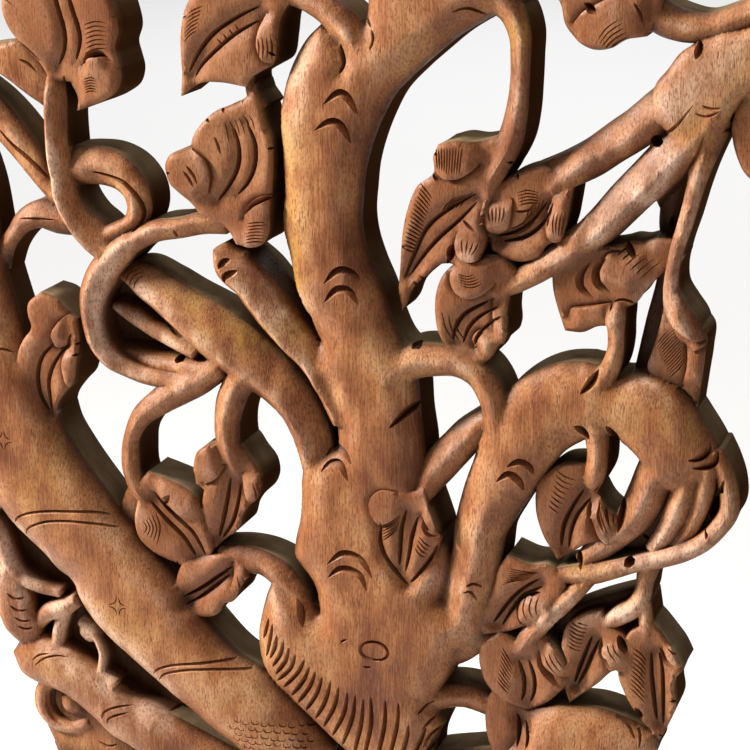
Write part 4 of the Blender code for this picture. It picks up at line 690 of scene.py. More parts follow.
# Rows of short strokes: how many, the first stroke and the last; those between are evenly spaced.
hatchRows = [
    (7, [(-181, 228), (-190, 229), (-199, 226)], [(-181, 211), (-190, 211), (-199, 207)]),
    (6, [(-189, 191), (-194, 192), (-200, 190)], [(-189, 182), (-194, 183), (-200, 181)]),
    (7, [(-71, 102), (-79, 101), (-87, 99)], [(-73, 88), (-80, 88), (-88, 86)]),
    (5, [(-75, 224), (-74, 216), (-75, 208)], [(-63, 225), (-62, 217), (-63, 209)]),
    (5, [(-160, -110), (-155, -122), (-158, -135)], [(-168, -118), (-165, -123), (-168, -128)]),
    (3, [(-169, 61), (-176, 57), (-178, 50)], [(-162, 58), (-169, 54), (-171, 47)]),
    (14, [(189, 37), (195, 45), (201, 51)], [(198, 16), (204, 22), (209, 30)]),
    (4, [(93, 54), (93, 46), (93, 38)], [(99, 54), (98, 46), (97, 38)]),
    (5, [(60, 77), (66, 75), (72, 77)], [(63, 69), (70, 68), (78, 72)]),
    (6, [(8, -101), (16, -97), (24, -90)], [(9, -112), (16, -106), (22, -100)]),
    (3, [(40, -80), (44, -87), (49, -94)], [(47, -77), (49, -81), (51, -86)]),
    (4, [(35, -105), (40, -110), (45, -113)], [(32, -113), (36, -118), (41, -121)]),
    (8, [(137, -153), (145, -157), (152, -158)], [(137, -173), (142, -176), (147, -177)]),
    (10, [(181, -170), (187, -174), (191, -180)], [(180, -198), (185, -202), (191, -208)]),
    (9, [(92, -180), (96, -187), (100, -194)], [(89, -205), (93, -210), (98, -215)]),
    (10, [(45, 159), (46, 150), (46, 142)], [(63, 160), (62, 151), (61, 141)]),
    (17, [(34, 134), (38, 130), (43, 124)], [(21, 90), (26, 88), (31, 85)]),
    (5, [(79, 122), (80, 116), (81, 111)], [(90, 124), (90, 117), (88, 110)]),
    (4, [(63, 101), (63, 95), (64, 90)], [(75, 101), (73, 95), (70, 90)]),
    (5, [(98, 131), (105, 133), (113, 131)], [(99, 123), (106, 125), (114, 125)]),
    (6, [(163, 94), (167, 98), (171, 100)], [(178, 80), (184, 86), (191, 92)]),
    (6, [(58, 127), (52, 121), (48, 115)], [(69, 130), (64, 125), (60, 119)]),
    (8, [(97, -123), (107, -124), (118, -124)], [(92, -135), (99, -132), (110, -130)]),
    (5, [(105, -227), (109, -231), (114, -234)], [(103, -238), (109, -239), (116, -240)]),
    (6, [(-85, 172), (-82, 168), (-80, 162)], [(-101, 166), (-99, 160), (-98, 154)]),
    (7, [(-128, 217), (-124, 222), (-118, 226)], [(-125, 236), (-120, 239), (-113, 242)]),
    (8, [(147, 228), (153, 237), (162, 244)], [(156, 216), (164, 222), (173, 226)]),
    (3, [(-98, -150), (-96, -158), (-98, -166)], [(-90, -150), (-89, -157), (-91, -164)]),
    (3, [(160, -62), (158, -66), (155, -69)], [(156, -59), (153, -63), (150, -65)]),
    (8, [(127, -52), (133, -56), (141, -58)], [(122, -76), (127, -80), (130, -82)]),
    (4, [(-105, 221), (-103, 219), (-101, 216)], [(-92, 231), (-91, 229), (-89, 226)]),
    (3, [(49, 50), (51, 38), (57, 26)], [(58, 46), (58, 38), (63, 31)]),
    (5, [(123, 122), (122, 113), (123, 105)], [(133, 122), (131, 113), (129, 104)]),
    (3, [(155, -68), (158, -80), (163, -92)], [(164, -64), (165, -76), (167, -88)]),
    (3, [(108, -142), (107, -150), (110, -157)], [(118, -138), (116, -146), (117, -153)]),
    (3, [(121, -180), (125, -188), (131, -195)], [(128, -178), (131, -184), (136, -190)]),
    (3, [(163, -167), (166, -174), (171, -180)], [(170, -163), (172, -169), (177, -175)]),
    (3, [(202, -160), (209, -164), (217, -169)], [(203, -166), (209, -170), (216, -174)]),
    (4, [(-84, -80), (-82, -88), (-83, -95)], [(-78, -76), (-76, -84), (-77, -92)]),
    (5, [(-262, 270), (-256, 262), (-250, 255)], [(-262, 250), (-256, 243), (-250, 238)]),
    (5, [(100, 108), (104, 115), (106, 122)], [(110, 118), (113, 123), (115, 128)]),
    (3, [(86, 103), (101, 111), (109, 122)], [(100, 99), (109, 106), (116, 116)]),
    (2, [(231, 170), (228, 150), (227, 130)], [(224, 165), (222, 145), (221, 125)]),
]
stars = {"places": [(-269, -66.5), (-185.5, -181)], "reach": 7.2, "waist": 3.2, "gap": 0.08}
knot = {"place": (4.5, -191), "wide": 10.2, "high": 6.8, "starts": (100, 280), "turn": 22, "stops": 11}
scales = {
    "from": (-100, -283), "to": (-44, -256), "pitch": 6.4, "rowPitch": 0.8, "reach": 2.9, "vary": (0.8, 1.1),
    "stray": 0.9, "seed": 5,
}


# The lobes that stand above the rest of their leaf: the free edge, then the rest of the way round, towards
# which the lobe sinks back into the leaf.
lobes = [
    ([(45, 141), (50, 138), (58, 138), (66, 142), (73, 148)], [(78, 158), (70, 170), (40, 170), (36, 150)]),
    ([(59, 103), (58, 95), (60, 88), (66, 85), (73, 86), (78, 92), (79, 99)], []),
    ([(76, 124), (75, 114), (78, 106), (84, 103), (91, 106), (94, 115), (95, 127)], []),
    ([(120, 128), (117, 115), (118, 105), (122, 99)], [(140, 94), (150, 118), (146, 146), (126, 140)]),
    ([(84, 70), (76, 63), (67, 60), (59, 63), (55, 70), (55, 80)], [(52, 90), (70, 95), (88, 85)]),
    ([(70, 26), (69, 33), (73, 38), (80, 39)], [(90, 32), (82, 18)]),
    ([(82, 60), (83, 50), (84, 38)], [(84, 30), (104, 30), (104, 62)]),
    ([(165, 96), (158, 95), (153, 87), (153, 79), (158, 72)], [(175, 68), (185, 85), (180, 100)]),
    ([(133, 53), (134, 57), (141, 59), (151, 61), (160, 63)], [(166, 45), (130, 40)]),
    ([(132, 240), (137, 246), (145, 251), (155, 256), (165, 259)], [(180, 260), (178, 220), (126, 220)]),
    ([(-181, 203), (-188, 206), (-196, 204), (-201, 199)],
     [(-207, 190), (-205, 170), (-174, 170), (-172, 195)]),
    ([(-66, 206), (-72, 208), (-76, 216), (-75, 228), (-70, 239)], [(-56, 242), (-54, 206)]),
    ([(-124, 147), (-115, 141), (-111, 130), (-113, 119)], [(-122, 110), (-146, 118), (-146, 150)]),
    ([(-66, 120), (-78, 117), (-86, 110), (-88, 103)], [(-92, 92), (-92, 76), (-58, 76), (-58, 120)]),
    ([(-221, 4), (-224, -8), (-222, -20), (-217, -30)], [(-203, -24), (-203, 5)]),
    ([(-219, 27), (-228, 19), (-232, 10), (-229, 3), (-222, 4), (-219, 12)], []),
    ([(-106, -72), (-112, -81), (-121, -86)], [(-134, -80), (-130, -53), (-112, -53)]),
    ([(-93, -76), (-92, -86), (-88, -98)], [(-74, -100), (-74, -68)]),
    ([(20, -76), (8, -76), (1, -83), (2, -93), (8, -100), (17, -97)], []),
    ([(50, -104), (41, -100), (37, -91)], [(37, -72), (56, -72), (58, -95)]),
    ([(167, -96), (160, -99), (153, -95), (150, -86), (151, -74)], [(155, -60), (168, -60), (172, -80)]),
    ([(110, -163), (104, -157), (104, -148), (110, -140)], [(130, -138), (130, -162)]),
    ([(137, -197), (129, -195), (122, -190), (118, -182)], [(122, -170), (135, -170), (146, -190)]),
    ([(173, -189), (166, -187), (161, -178), (160, -168)], [(176, -163), (183, -180)]),
    ([(221, -178), (214, -180), (206, -176), (201, -169)], [(205, -150), (228, -163)]),
    ([(223, 44), (216, 43), (208, 46), (201, 51), (196, 58)], [(200, 76), (226, 76), (234, 50)]),
    ([(207, 12), (209, 20), (210, 30), (209, 40)], [(226, 42), (224, 8)]),
    ([(-160, -97), (-150, -103), (-141, -111), (-133, -115)],
     [(-124, -108), (-124, -92), (-150, -84), (-162, -88)]),
    ([(-103, -143), (-101, -150), (-103, -160)], [(-98, -172), (-84, -170), (-84, -140)]),
]
lobeShape = {
    "lift": 3.2, "lip": 0.5, "shoulder": 5.0, "rootFade": 8.0, "crease": 1.7, "creaseWidth": 2.2,
    "margin": 6, "step": 1.5,
}


def lobeLift(edge, rest, x, z):
    line = smoothLine(edge, lobeShape["step"], corner=blending["looseCorner"])
    root = np.array([edge[-1]] + rest + [edge[0]], float)
    within = isInside(np.concatenate([line, root[1:-1]]), x, z)
    _, _, away = nearestOn(line, x, z)
    _, _, fromRoot = nearestOn(root, x, z)
    fade = np.clip(fromRoot / lobeShape["rootFade"], 0, 1)
    dome = np.sqrt(1 - (1 - np.clip(away / lobeShape["shoulder"], 0, 1)) ** 2)
    lip = lobeShape["lip"]
    swell = lobeShape["lift"] * (lip + (1 - lip) * dome) * fade * fade * (3 - 2 * fade)
    return np.where(within, swell, -lobeShape["crease"] * np.exp(-((away / lobeShape["creaseWidth"]) ** 2)))


# nicks in the margins of the leaves, cut from a little outside
torn = {"every": 7.0, "share": 0.13, "deep": (2.0, 4.5), "slant": 0.5, "outside": 1.5, "seed": 9}


def addNicks():
    chance = np.random.default_rng(torn["seed"])
    gougeRoutes["nick"] = []
    for name, shape in plates.items():
        if not name.startswith("leaf"):
            continue
        line = np.array(shape["outline"] + shape["outline"][:1], float)
        for a, b in zip(line, line[1:]):
            length = math.hypot(*(b - a))
            across = np.array([b[1] - a[1], a[0] - b[0]]) / length
            if isInside(line, *(np.reshape((a + b) / 2 + across, (2, 1))))[0]:
                across = -across
            for i in range(int(length / torn["every"])):
                keep, deep = chance.random(), chance.uniform(*torn["deep"])
                slant = chance.uniform(-torn["slant"], torn["slant"])
                edge = a + (b - a) * (i + 0.5) * torn["every"] / length
                outer = edge + across * torn["outside"]
                if keep < torn["share"] and carvedFace(*np.reshape(outer, (2, 1)))[0][0] < 0:
                    inner = edge - (across + slant * (b - a) / length) * deep
                    gougeRoutes["nick"].append([tuple(outer), tuple(inner)])


def scaleStrokes():
    stray = np.random.default_rng(scales["seed"])
    strokes = []
    (left, z), (right, top) = scales["from"], scales["to"]
    row = 0
    while z < top:
        x = left + (row % 2) * scales["pitch"] / 2
        while x < right:
            r = scales["reach"] * stray.uniform(*scales["vary"])
            u, v = (x, z) + scales["stray"] * stray.uniform(-1, 1, 2)
            cup = [(-r, r * 0.7), (-r * 0.7, -r * 0.4), (r * 0.7, -r * 0.4), (r, r * 0.7)]
            strokes.append([(u + aside, v + up) for aside, up in cup])
            x += scales["pitch"]
        z += scales["pitch"] * scales["rowPitch"]
        row += 1
    return strokes


def starStrokes(x, z):
    strokes = []
    for turn in range(4):
        a = math.pi / 2 * turn
        tips = [(a + stars["gap"], stars["reach"]), (a + math.pi / 4, stars["waist"]),
                (a + math.pi / 2 - stars["gap"], stars["reach"])]
        strokes.append([(x + far * math.cos(b), z + far * math.sin(b)) for b, far in tips])
    return strokes


def addStrokes():
    gougeRoutes["hatch"] = []
    for count, first, last in hatchRows:
        for i in range(count):
            share = i / (count - 1)
            stroke = [(a + (c - a) * share, b + (d - b) * share) for (a, b), (c, d) in zip(first, last)]
            gougeRoutes["hatch"].append(stroke)
    gougeRoutes["hatch"] += scaleStrokes()
    for place in stars["places"]:
        gougeRoutes["hatch"] += starStrokes(*place)
    x, z = knot["place"]
    for start in knot["starts"]:  # two arcs that run past each other
        turns = [math.radians(start + knot["turn"] * i) for i in range(knot["stops"])]
        arc = [(x + knot["wide"] * math.cos(a), z + knot["high"] * math.sin(a)) for a in turns]
        gougeRoutes["band"].append(arc)


addStrokes()

softForms = [  # these grow out of each other with a soft hollow between; the rest stop at a clean edge
    "trunk", "webStub", "floorCurl", "junctionRight", "hood", "fingerWeb", "floorFigure",
    "branchTopLeft", "hookBranch", "stubLeft", "limbLeftUp", "spurUpper", "spurLower", "sickleLeft",
    "stubDownLeft", "stemSecond", "branchRight1", "branchRight2", "stemRightShelf", "limbRight",
    "stubDownRight", "archBranch", "spearBranch", "twigRight", "twigLowRight", "twigLow",
]
leaning = {  # vines whose crest stands off their middle: to the right of their way for more than nought
    "stemVertical": 1.0, "cCurl": 0.5, "ringCurl": 0.3, "limbLeftUp": 0.85, "stubLeft": 0.9,
    "hookBranch": -0.45, "branchRight1": -0.35, "branchRight2": -0.45, "tipRight2": -0.45,
}

blending = {
    "vineStep": 1.6, "plateStep": 2.0, "spineStep": 4.0,  # spacing along the lines that shape the forms
    "looseCorner": 80.0,  # a vine bends round corners of up to this many degrees
    "reach": 5.0,  # how close in height two forms start to run together
    "softSlope": 4.0, "crispSlope": 60.0,
    "capSquash": 3.0,  # how blunt a vine's ends are
    "maxCrownDrop": 12.0, "crownDrop": 0.85,
    "leanReach": 0.5, "leanSharp": 0.5,
    # slimmer vines are cut to a ridge, and the stouter limbs stay round
    "ridge": 0.45, "ridgeUnder": 23.0, "ridgeFade": 3.0, "ridgeRound": 0.006, "ridgeFoot": 0.077,
    "leafFlat": 0.5,  # how rounded the leaves' margins stay
    "spineSoft": 9.0,
    "margin": 9.0,  # how far outside its edge a form still counts
    "ribDepth": 2.9, "ribWidth": 5.0, "ribMargin": 2.5, "ribStep": 3.0,
}
unset = {"depth": -50.0, "height": -200.0}  # what a place has before any form covers it


def smoothLine(stops, spacing, closed=False, corner=48.0):
    p = np.array(stops, float)
    n = len(p)
    gap = np.roll(p, -1, 0) - p
    size = np.maximum(np.hypot(gap[:, 0], gap[:, 1]), 1e-6)[:, None]
    way = gap / size
    before, sizeBefore = np.roll(way, 1, 0), np.roll(size, 1, 0)
    middle = (before * size + way * sizeBefore) / (size + sizeBefore)
    turn = np.degrees(np.arccos(np.clip((before[:, :2] * way[:, :2]).sum(1), -1, 1)))
    sharp = (turn > corner)[:, None]
    leave, arrive = np.where(sharp, way, middle), np.where(sharp, before, middle)
    if not closed:
        leave[0], arrive[-1] = way[0], before[-1]
    points = []
    for i in range(n if closed else n - 1):
        j = (i + 1) % n
        length = size[i, 0]
        count = max(math.ceil(length / spacing), 1)
        u = (np.arange(count) / count)[:, None]
        points.append(
            (2 * u**3 - 3 * u**2 + 1) * p[i] + (u**3 - 2 * u**2 + u) * length * leave[i]
            + (3 * u**2 - 2 * u**3) * p[j] + (u**3 - u**2) * length * arrive[j]
        )
    if not closed:
        points.append(p[-1:])
    return np.concatenate(points)


def nearestOn(line, x, z, closed=False, batch=8000):  # which stretch is nearest, where on it, how far away
    a = line if closed else line[:-1]
    b = np.roll(line, -1, 0) if closed else line[1:]
    ax, az = a[:, 0], a[:, 1]
    dx, dz = b[:, 0] - ax, b[:, 1] - az
    inverse = 1 / np.maximum(dx**2 + dz**2, 1e-9)
    which, where, away = [], [], []
    for start in range(0, len(x), batch):
        px, pz = x[start:start + batch, None] - ax, z[start:start + batch, None] - az
        raw = (px * dx + pz * dz) * inverse
        t = np.clip(raw, 0, 1)
        far = (px - t * dx) ** 2 + (pz - t * dz) ** 2
        k = far.argmin(1)
        rows = np.arange(len(k))
        which.append(k)
        where.append(raw[rows, k])
        away.append(np.sqrt(far[rows, k]))
    return np.concatenate(which), np.concatenate(where), np.concatenate(away)


def isInside(line, x, z):
    inside = np.zeros(len(x), bool)
    for (ax, az), (bx, bz) in zip(line[:, :2], np.roll(line[:, :2], -1, 0)):
        crosses = (az > z) != (bz > z)
        if crosses.any():
            inside[crosses] ^= x[crosses] < ax + (z[crosses] - az) / (bz - az) * (bx - ax)
    return inside


def inBox(low, high, x, z):
    return np.flatnonzero((x > low[0]) & (x < high[0]) & (z > low[1]) & (z < high[1]))


def makeVine(name, stops):
    line = smoothLine(stops, blending["vineStep"], corner=blending["looseCorner"])
    return {"name": name, "line": line, "lean": leaning.get(name, 0.0), "margin": line[:, 2].max()}


def vineField(form, x, z):
    line = form["line"]
    k, t, away = nearestOn(line, x, z)
    last = len(line) - 2
    step = line[k + 1] - line[k]
    length = np.maximum(np.hypot(step[:, 0], step[:, 1]), 1e-6)
    inner = np.clip(t, 0, 1)
    half = line[k, 2] + step[:, 2] * inner
    top = line[k, 3] + step[:, 3] * inner
    beyond = np.where(k == 0, np.maximum(-t, 0), 0) + np.where(k == last, np.maximum(t - 1, 0), 0)
    beyond = beyond * length
    across = ((x - line[k, 0]) * step[:, 1] - (z - line[k, 1]) * step[:, 0]) / length
    away = np.sqrt(np.maximum(away**2 - beyond**2, 0) + (beyond * blending["capSquash"]) ** 2)
    share = np.clip(away / half, 0, 1)
    lean = form["lean"]
    if lean:
        centre = blending["leanReach"] * lean
        signed = np.sign(across) * share
        share = np.where(signed > centre, (signed - centre) / (1 - centre), (centre - signed) / (1 + centre))
        share = np.clip(share, 0, 1)
    power = 2.0 - blending["leanSharp"] * abs(lean)
    drop = np.minimum(half * blending["crownDrop"], blending["maxCrownDrop"])
    dome = 1 - (1 - share**power) ** (1 / power)
    ridge = blending["ridge"] * np.clip((blending["ridgeUnder"] - half) / blending["ridgeFade"], 0, 1)
    sides = np.sqrt(share**2 + blending["ridgeRound"]) - blending["ridgeFoot"]
    height = top - drop * (dome + (sides - dome) * ridge)
    return half - away, height


def makePlate(name, shape):
    flat = blending["leafFlat"] if name.startswith(("leaf", "lobe")) else 1.0
    return {
        "name": name, "line": smoothLine(shape["outline"], blending["plateStep"], closed=True),
        "spine": smoothLine(shape["spine"], blending["spineStep"]),
        "shoulder": shape["shoulder"] * flat, "drop": shape["drop"] * flat, "margin": 0.0,
    }


def plateField(form, x, z):
    line, spine = form["line"], form["spine"]
    _, _, away = nearestOn(line, x, z, closed=True)
    away = np.where(isInside(line, x, z), away, -away)
    far = (x[:, None] - spine[:, 0]) ** 2 + (z[:, None] - spine[:, 1]) ** 2
    pull = 1 / (far + blending["spineSoft"]) ** 2
    crown = (pull * spine[:, 2]).sum(1) / pull.sum(1)
    rise = np.clip(away / form["shoulder"], 0, 1)
    return away, crown - form["drop"] * (1 - np.sqrt(1 - (1 - rise) ** 2))


forms = [makePlate(name, shape) for name, shape in plates.items()]
forms += [makeVine(name, stops) for name, stops in vines.items()]
for form in forms:
    margin = form["margin"] + blending["margin"]
    form["low"] = form["line"][:, :2].min(0) - margin
    form["high"] = form["line"][:, :2].max(0) + margin
    form["field"] = vineField if "lean" in form else plateField
    form["soft"] = form["name"] in softForms


def softMax(a, b, reach):
    mix = np.clip(0.5 + 0.5 * (a - b) / reach, 0, 1)
    return b + (a - b) * mix + reach * mix * (1 - mix) * 0.5


def between(values, i, nextI, j, nextJ, fu, fv):
    near = values[i, j] * (1 - fu) + values[nextI, j] * fu
    far = values[i, nextJ] * (1 - fu) + values[nextI, nextJ] * fu
    return near * (1 - fv) + far * fv


def unevenness(x, z, size, seed, cells=256):  # smooth random heights between -1 and 1, on cells of this size
    lattice = np.random.default_rng(seed).uniform(-1, 1, (cells, cells))
    u, v = x / size + 300.5, z / size + 300.5
    i, j = np.floor(u).astype(int), np.floor(v).astype(int)
    fu, fv = u - i, v - j
    fu, fv = fu * fu * (3 - 2 * fu), fv * fv * (3 - 2 * fv)
    return between(lattice, i % cells, (i + 1) % cells, j % cells, (j + 1) % cells, fu, fv)


veinLines = []  # a leaf dips gently along its veins, which leaves ribs standing between them
for route in gougeRoutes["vein"]:
    line = smoothLine(route, blending["ribStep"])
    margin = blending["ribMargin"] * blending["ribWidth"]
    veinLines.append((line, line.min(0) - margin, line.max(0) + margin))


def carvedFace(x, z, rough=True):  # how deep inside the outline each place is, and its height
    inside = np.full(len(x), unset["depth"])
    soft = np.full(len(x), unset["height"])
    crisp = np.full(len(x), unset["height"])
    softInside = np.full(len(x), unset["depth"])
    for form in forms:
        near = inBox(form["low"], form["high"], x, z)
        if not len(near):
            continue
        depth, height = form["field"](form, x[near], z[near])
        inside[near] = np.maximum(inside[near], depth)
        if form["soft"]:
            height = height + blending["softSlope"] * np.minimum(depth, 0)
            soft[near] = softMax(soft[near], height, blending["reach"])
            softInside[near] = np.maximum(softInside[near], depth)
        else:
            height = height + blending["crispSlope"] * np.minimum(depth, 0)
            crisp[near] = np.maximum(crisp[near], height)
    soft += blending["crispSlope"] * np.minimum(softInside, 0)
    height = np.maximum(soft, crisp)
    for line, low, high in veinLines:
        near = inBox(low, high, x, z)
        if len(near):
            _, _, away = nearestOn(line, x[near], z[near])
            height[near] -= blending["ribDepth"] * np.exp(-((away / blending["ribWidth"]) ** 2))
    for edge, rest in lobes:
        corners = np.array(edge + rest, float)
        near = inBox(corners.min(0) - lobeShape["margin"], corners.max(0) + lobeShape["margin"], x, z)
        if len(near):
            height[near] += lobeLift(edge, rest, x[near], z[near])
    if rough:
        for amount, size, seed in panelMesh["handWork"]:
            height = height + amount * unevenness(x, z, size, seed)
    across = np.minimum(x - board["left"], board["right"] - x)
    upright = np.minimum(z - board["bottom"], board["top"] - z)
    depth = np.minimum(inside, np.minimum(across, upright))
    return depth, np.clip(height, board["thinnest"], board["thickness"])


def ringOf(form):  # the line round a form, and the way it runs
    line = form["line"]
    if "lean" not in form:
        ring = line[:, :2]
        return ring, np.roll(ring, -1, 0) - np.roll(ring, 1, 0)
    ahead = np.gradient(line[:, :2], axis=0)
    ahead /= np.maximum(np.hypot(ahead[:, 0], ahead[:, 1]), 1e-6)[:, None]
    side = np.stack([ahead[:, 1], -ahead[:, 0]], 1) * line[:, 2:3]
    bulge = 1 / blending["capSquash"]
    angles = np.linspace(0, math.pi, 9)[1:-1, None]
    startCap = line[0, :2] - side[0] * np.cos(angles) - ahead[0] * line[0, 2] * bulge * np.sin(angles)
    endCap = line[-1, :2] + side[-1] * np.cos(angles) + ahead[-1] * line[-1, 2] * bulge * np.sin(angles)
    ring = np.concatenate([line[:, :2] + side, endCap, line[::-1, :2] - side[::-1], startCap])
    return ring, np.roll(ring, -1, 0) - np.roll(ring, 1, 0)


rims = {
    "inner": 0.04, "outer": 0.36,  # a crisp edge is two rows of points, this far inside it and outside it
    "probeIn": 0.3, "probeOut": 0.7,  # and is looked for this far on either side
    "onEdge": 0.12, "hidden": 1.2, "stepDown": 0.8, "longest": 5.0,
    "lobeInner": -0.05, "lobeOuter": 0.35, "lobeInside": 0.6,
    "boardStep": 2.0,
}


def withNeighbours(shown):
    return np.roll(shown, 1) | np.roll(shown, -1)


def formEdges(form):  # the rows of points for one form's edge, each with what of it is kept
    ring, ahead = ringOf(form)
    size = np.maximum(np.hypot(ahead[:, 0], ahead[:, 1]), 1e-6)
    out = np.stack([ahead[:, 1], -ahead[:, 0]], 1) / size[:, None]
    if (ring[:, 0] * np.roll(ring[:, 1], -1) - np.roll(ring[:, 0], -1) * ring[:, 1]).sum() < 0:
        out = -out
    own, _ = form["field"](form, ring[:, 0], ring[:, 1])
    inner, outer = ring - out * rims["inner"], ring + out * rims["outer"]
    justIn, justOut = (inner - out * rims["probeIn"]).T, (ring + out * rims["probeOut"]).T
    _, heightIn = form["field"](form, *justIn)
    _, allIn = carvedFace(*justIn, rough=False)
    openOut, allOut = carvedFace(*justOut, rough=False)
    isEdge = np.abs(own) < rims["onEdge"]
    step = isEdge & (heightIn > allIn - rims["hidden"]) & (allOut < heightIn - rims["stepDown"])
    step = step & (openOut >= 0) & (not form["soft"])
    shown = (isEdge & (openOut < 0)) | step
    return (inner, shown | (withNeighbours(shown) & isEdge)), (outer, step | (withNeighbours(step) & isEdge))


def edgeChains():  # the points and joins that keep every edge crisp
    points, joins = [], []
    for form in forms:
        for line, keep in formEdges(form):
            index = np.full(len(line), -1)
            index[keep] = len(points) + np.arange(keep.sum())
            points.extend(map(tuple, line[keep]))
            for i in np.flatnonzero(keep):
                j = (i + 1) % len(line)
                if keep[j] and math.dist(line[i], line[j]) < rims["longest"]:
                    joins.append((int(index[i]), int(index[j])))
    for edge, rest in lobes:
        line = smoothLine(edge, panelMesh["edgeStep"], corner=blending["looseCorner"])
        ahead = np.gradient(line, axis=0)
        out = np.stack([ahead[:, 1], -ahead[:, 0]], 1) / np.hypot(ahead[:, 0], ahead[:, 1])[:, None]
        probe = line[len(line) // 2] + out[len(line) // 2]
        if isInside(np.concatenate([line, np.reshape(rest, (-1, 2))]), probe[:1], probe[1:])[0]:
            out = -out
        for shift in (rims["lobeInner"], rims["lobeOuter"]):
            ring = line + out * shift
            deep, _ = carvedFace(ring[:, 0], ring[:, 1], rough=False)
            keep = deep > rims["lobeInside"]
            index = len(points) + np.cumsum(keep) - 1
            points.extend(map(tuple, ring[keep]))
            joins += [(int(index[i]), int(index[i + 1])) for i in np.flatnonzero(keep[:-1] & keep[1:])]
    corners = [(board["left"], board["bottom"]), (board["right"], board["bottom"]),
               (board["right"], board["top"]), (board["left"], board["top"])]
    for a, b in zip(corners, corners[1:] + corners[:1]):
        count = int(math.dist(a, b) / rims["boardStep"])
        start = len(points)
        points += [tuple(p + (q - p) * i / count for p, q in zip(a, b)) for i in range(count + 1)]
        joins += [(start + i, start + i + 1) for i in range(count)]
    return points, joins


def blurred(values, radius):  # three box blurs, close to a Gaussian
    for _ in range(3):
        for axis in (0, 1):
            first = np.repeat(values.take([0], axis), radius, axis)
            last = np.repeat(values.take([-1], axis), radius, axis)
            total = np.cumsum(np.concatenate([first, values, last], axis), axis)
            total = np.concatenate([np.zeros_like(total.take([0], axis)), total], axis)
            n = values.shape[axis]
            high = total.take(np.arange(2 * radius + 1, 2 * radius + 1 + n), axis)
            low = total.take(np.arange(0, n), axis)
            values = (high - low) / (2 * radius + 1)
    return values


addNicks()
mapStep = panelMesh["mapStep"]
mapX = np.arange(board["left"], board["right"] + mapStep, mapStep)
mapZ = np.arange(board["bottom"], board["top"] + mapStep, mapStep)
gridX, gridZ = np.meshgrid(mapX, mapZ)
flatInside, flatHeight = carvedFace(gridX.ravel(), gridZ.ravel(), rough=False)
insideMap = flatInside.reshape(gridX.shape)
heightMap = np.where(insideMap > 0, flatHeight.reshape(gridX.shape), 0.0)
leafMap = np.zeros(len(flatInside))
for form in forms:
    if form["name"].startswith("leaf"):
        depth, height = form["field"](form, gridX.ravel(), gridZ.ravel())
        leafMap[(depth > 0) & (height > flatHeight - panelMesh["leafUnder"])] = 1
leafMap = blurred(leafMap.reshape(gridX.shape), 1)
print("height map", heightMap.shape)


def mapAt(values, x, z):
    u = np.clip((x - mapX[0]) / mapStep, 0, values.shape[1] - 1.001)
    v = np.clip((z - mapZ[0]) / mapStep, 0, values.shape[0] - 1.001)
    i, j = u.astype(int), v.astype(int)
    return between(values.T, i, i + 1, j, j + 1, u - i, v - j)


def levelOf(reach):  # the mean height of the wood round each place
    solid = blurred((insideMap > 0).astype(float), reach)
    return blurred(heightMap, reach) / np.maximum(solid, panelMesh["leastSolid"])


def hexGrid(step):
    rows = np.arange(board["bottom"] + step / 2, board["top"], step * 0.866)
    columns = np.arange(board["left"] + step / 2, board["right"], step)
    x, z = np.meshgrid(columns, rows)
    x = x + step / 2 * (np.arange(len(rows)) % 2)[:, None]
    return x.ravel(), z.ravel()


def facePoints(chainPoints):  # close together where the face bends, and kept off the points of the edges
    bend = np.where(insideMap > 0, np.abs(heightMap - levelOf(1)), 0)
    tree = kdtree.KDTree(len(chainPoints))
    for i, (x, z) in enumerate(chainPoints):
        tree.insert((x, z, 0), i)
    tree.balance()
    chosen = []
    below = math.inf
    levels = {"fine": panelMesh["fineFrom"], "medium": panelMesh["mediumFrom"], "coarse": -1.0}
    for name, above in levels.items():
        step = panelMesh[name]
        x, z = hexGrid(step)
        here = mapAt(bend, x, z)
        fits = (mapAt(insideMap, x, z) > panelMesh["fromEdge"]) & (here > above) & (here <= below)
        clear = min(panelMesh["apart"] * step, panelMesh["fromChain"])
        chosen += [(px, pz) for px, pz in zip(x[fits], z[fits]) if tree.find((px, pz, 0))[2] > clear]
        below = above
    return chosen


def faceTriangles():
    chainPoints, joins = edgeChains()
    print("edge points", len(chainPoints))
    spots = facePoints(chainPoints)
    print("face points", len(spots))
    flat = [Vector(p) for p in chainPoints + spots]
    out, _, triangles, *_ = delaunay_2d_cdt(flat, joins, [], 0, 1e-4)
    at = np.array([(p.x, p.y) for p in out])
    tri = np.array([t for t in triangles if len(t) == 3])
    middle = at[tri].mean(1)
    inside, _ = carvedFace(middle[:, 0], middle[:, 1], rough=False)
    tri = tri[inside > 0.0]
    area = np.cross(at[tri[:, 1]] - at[tri[:, 0]], at[tri[:, 2]] - at[tri[:, 0]])
    tri = np.where((area < 0)[:, None], tri[:, ::-1], tri)
    print("face triangles", len(tri))
    used = np.unique(tri)
    index = np.full(len(at), -1)
    index[used] = np.arange(len(used))
    return at[used], index[tri]


def borderOf(tri):  # the sides that only one triangle has
    pairs = set(map(tuple, np.concatenate([tri[:, [0, 1]], tri[:, [1, 2]], tri[:, [2, 0]]]).tolist()))
    return [(a, b) for a, b in pairs if (b, a) not in pairs]


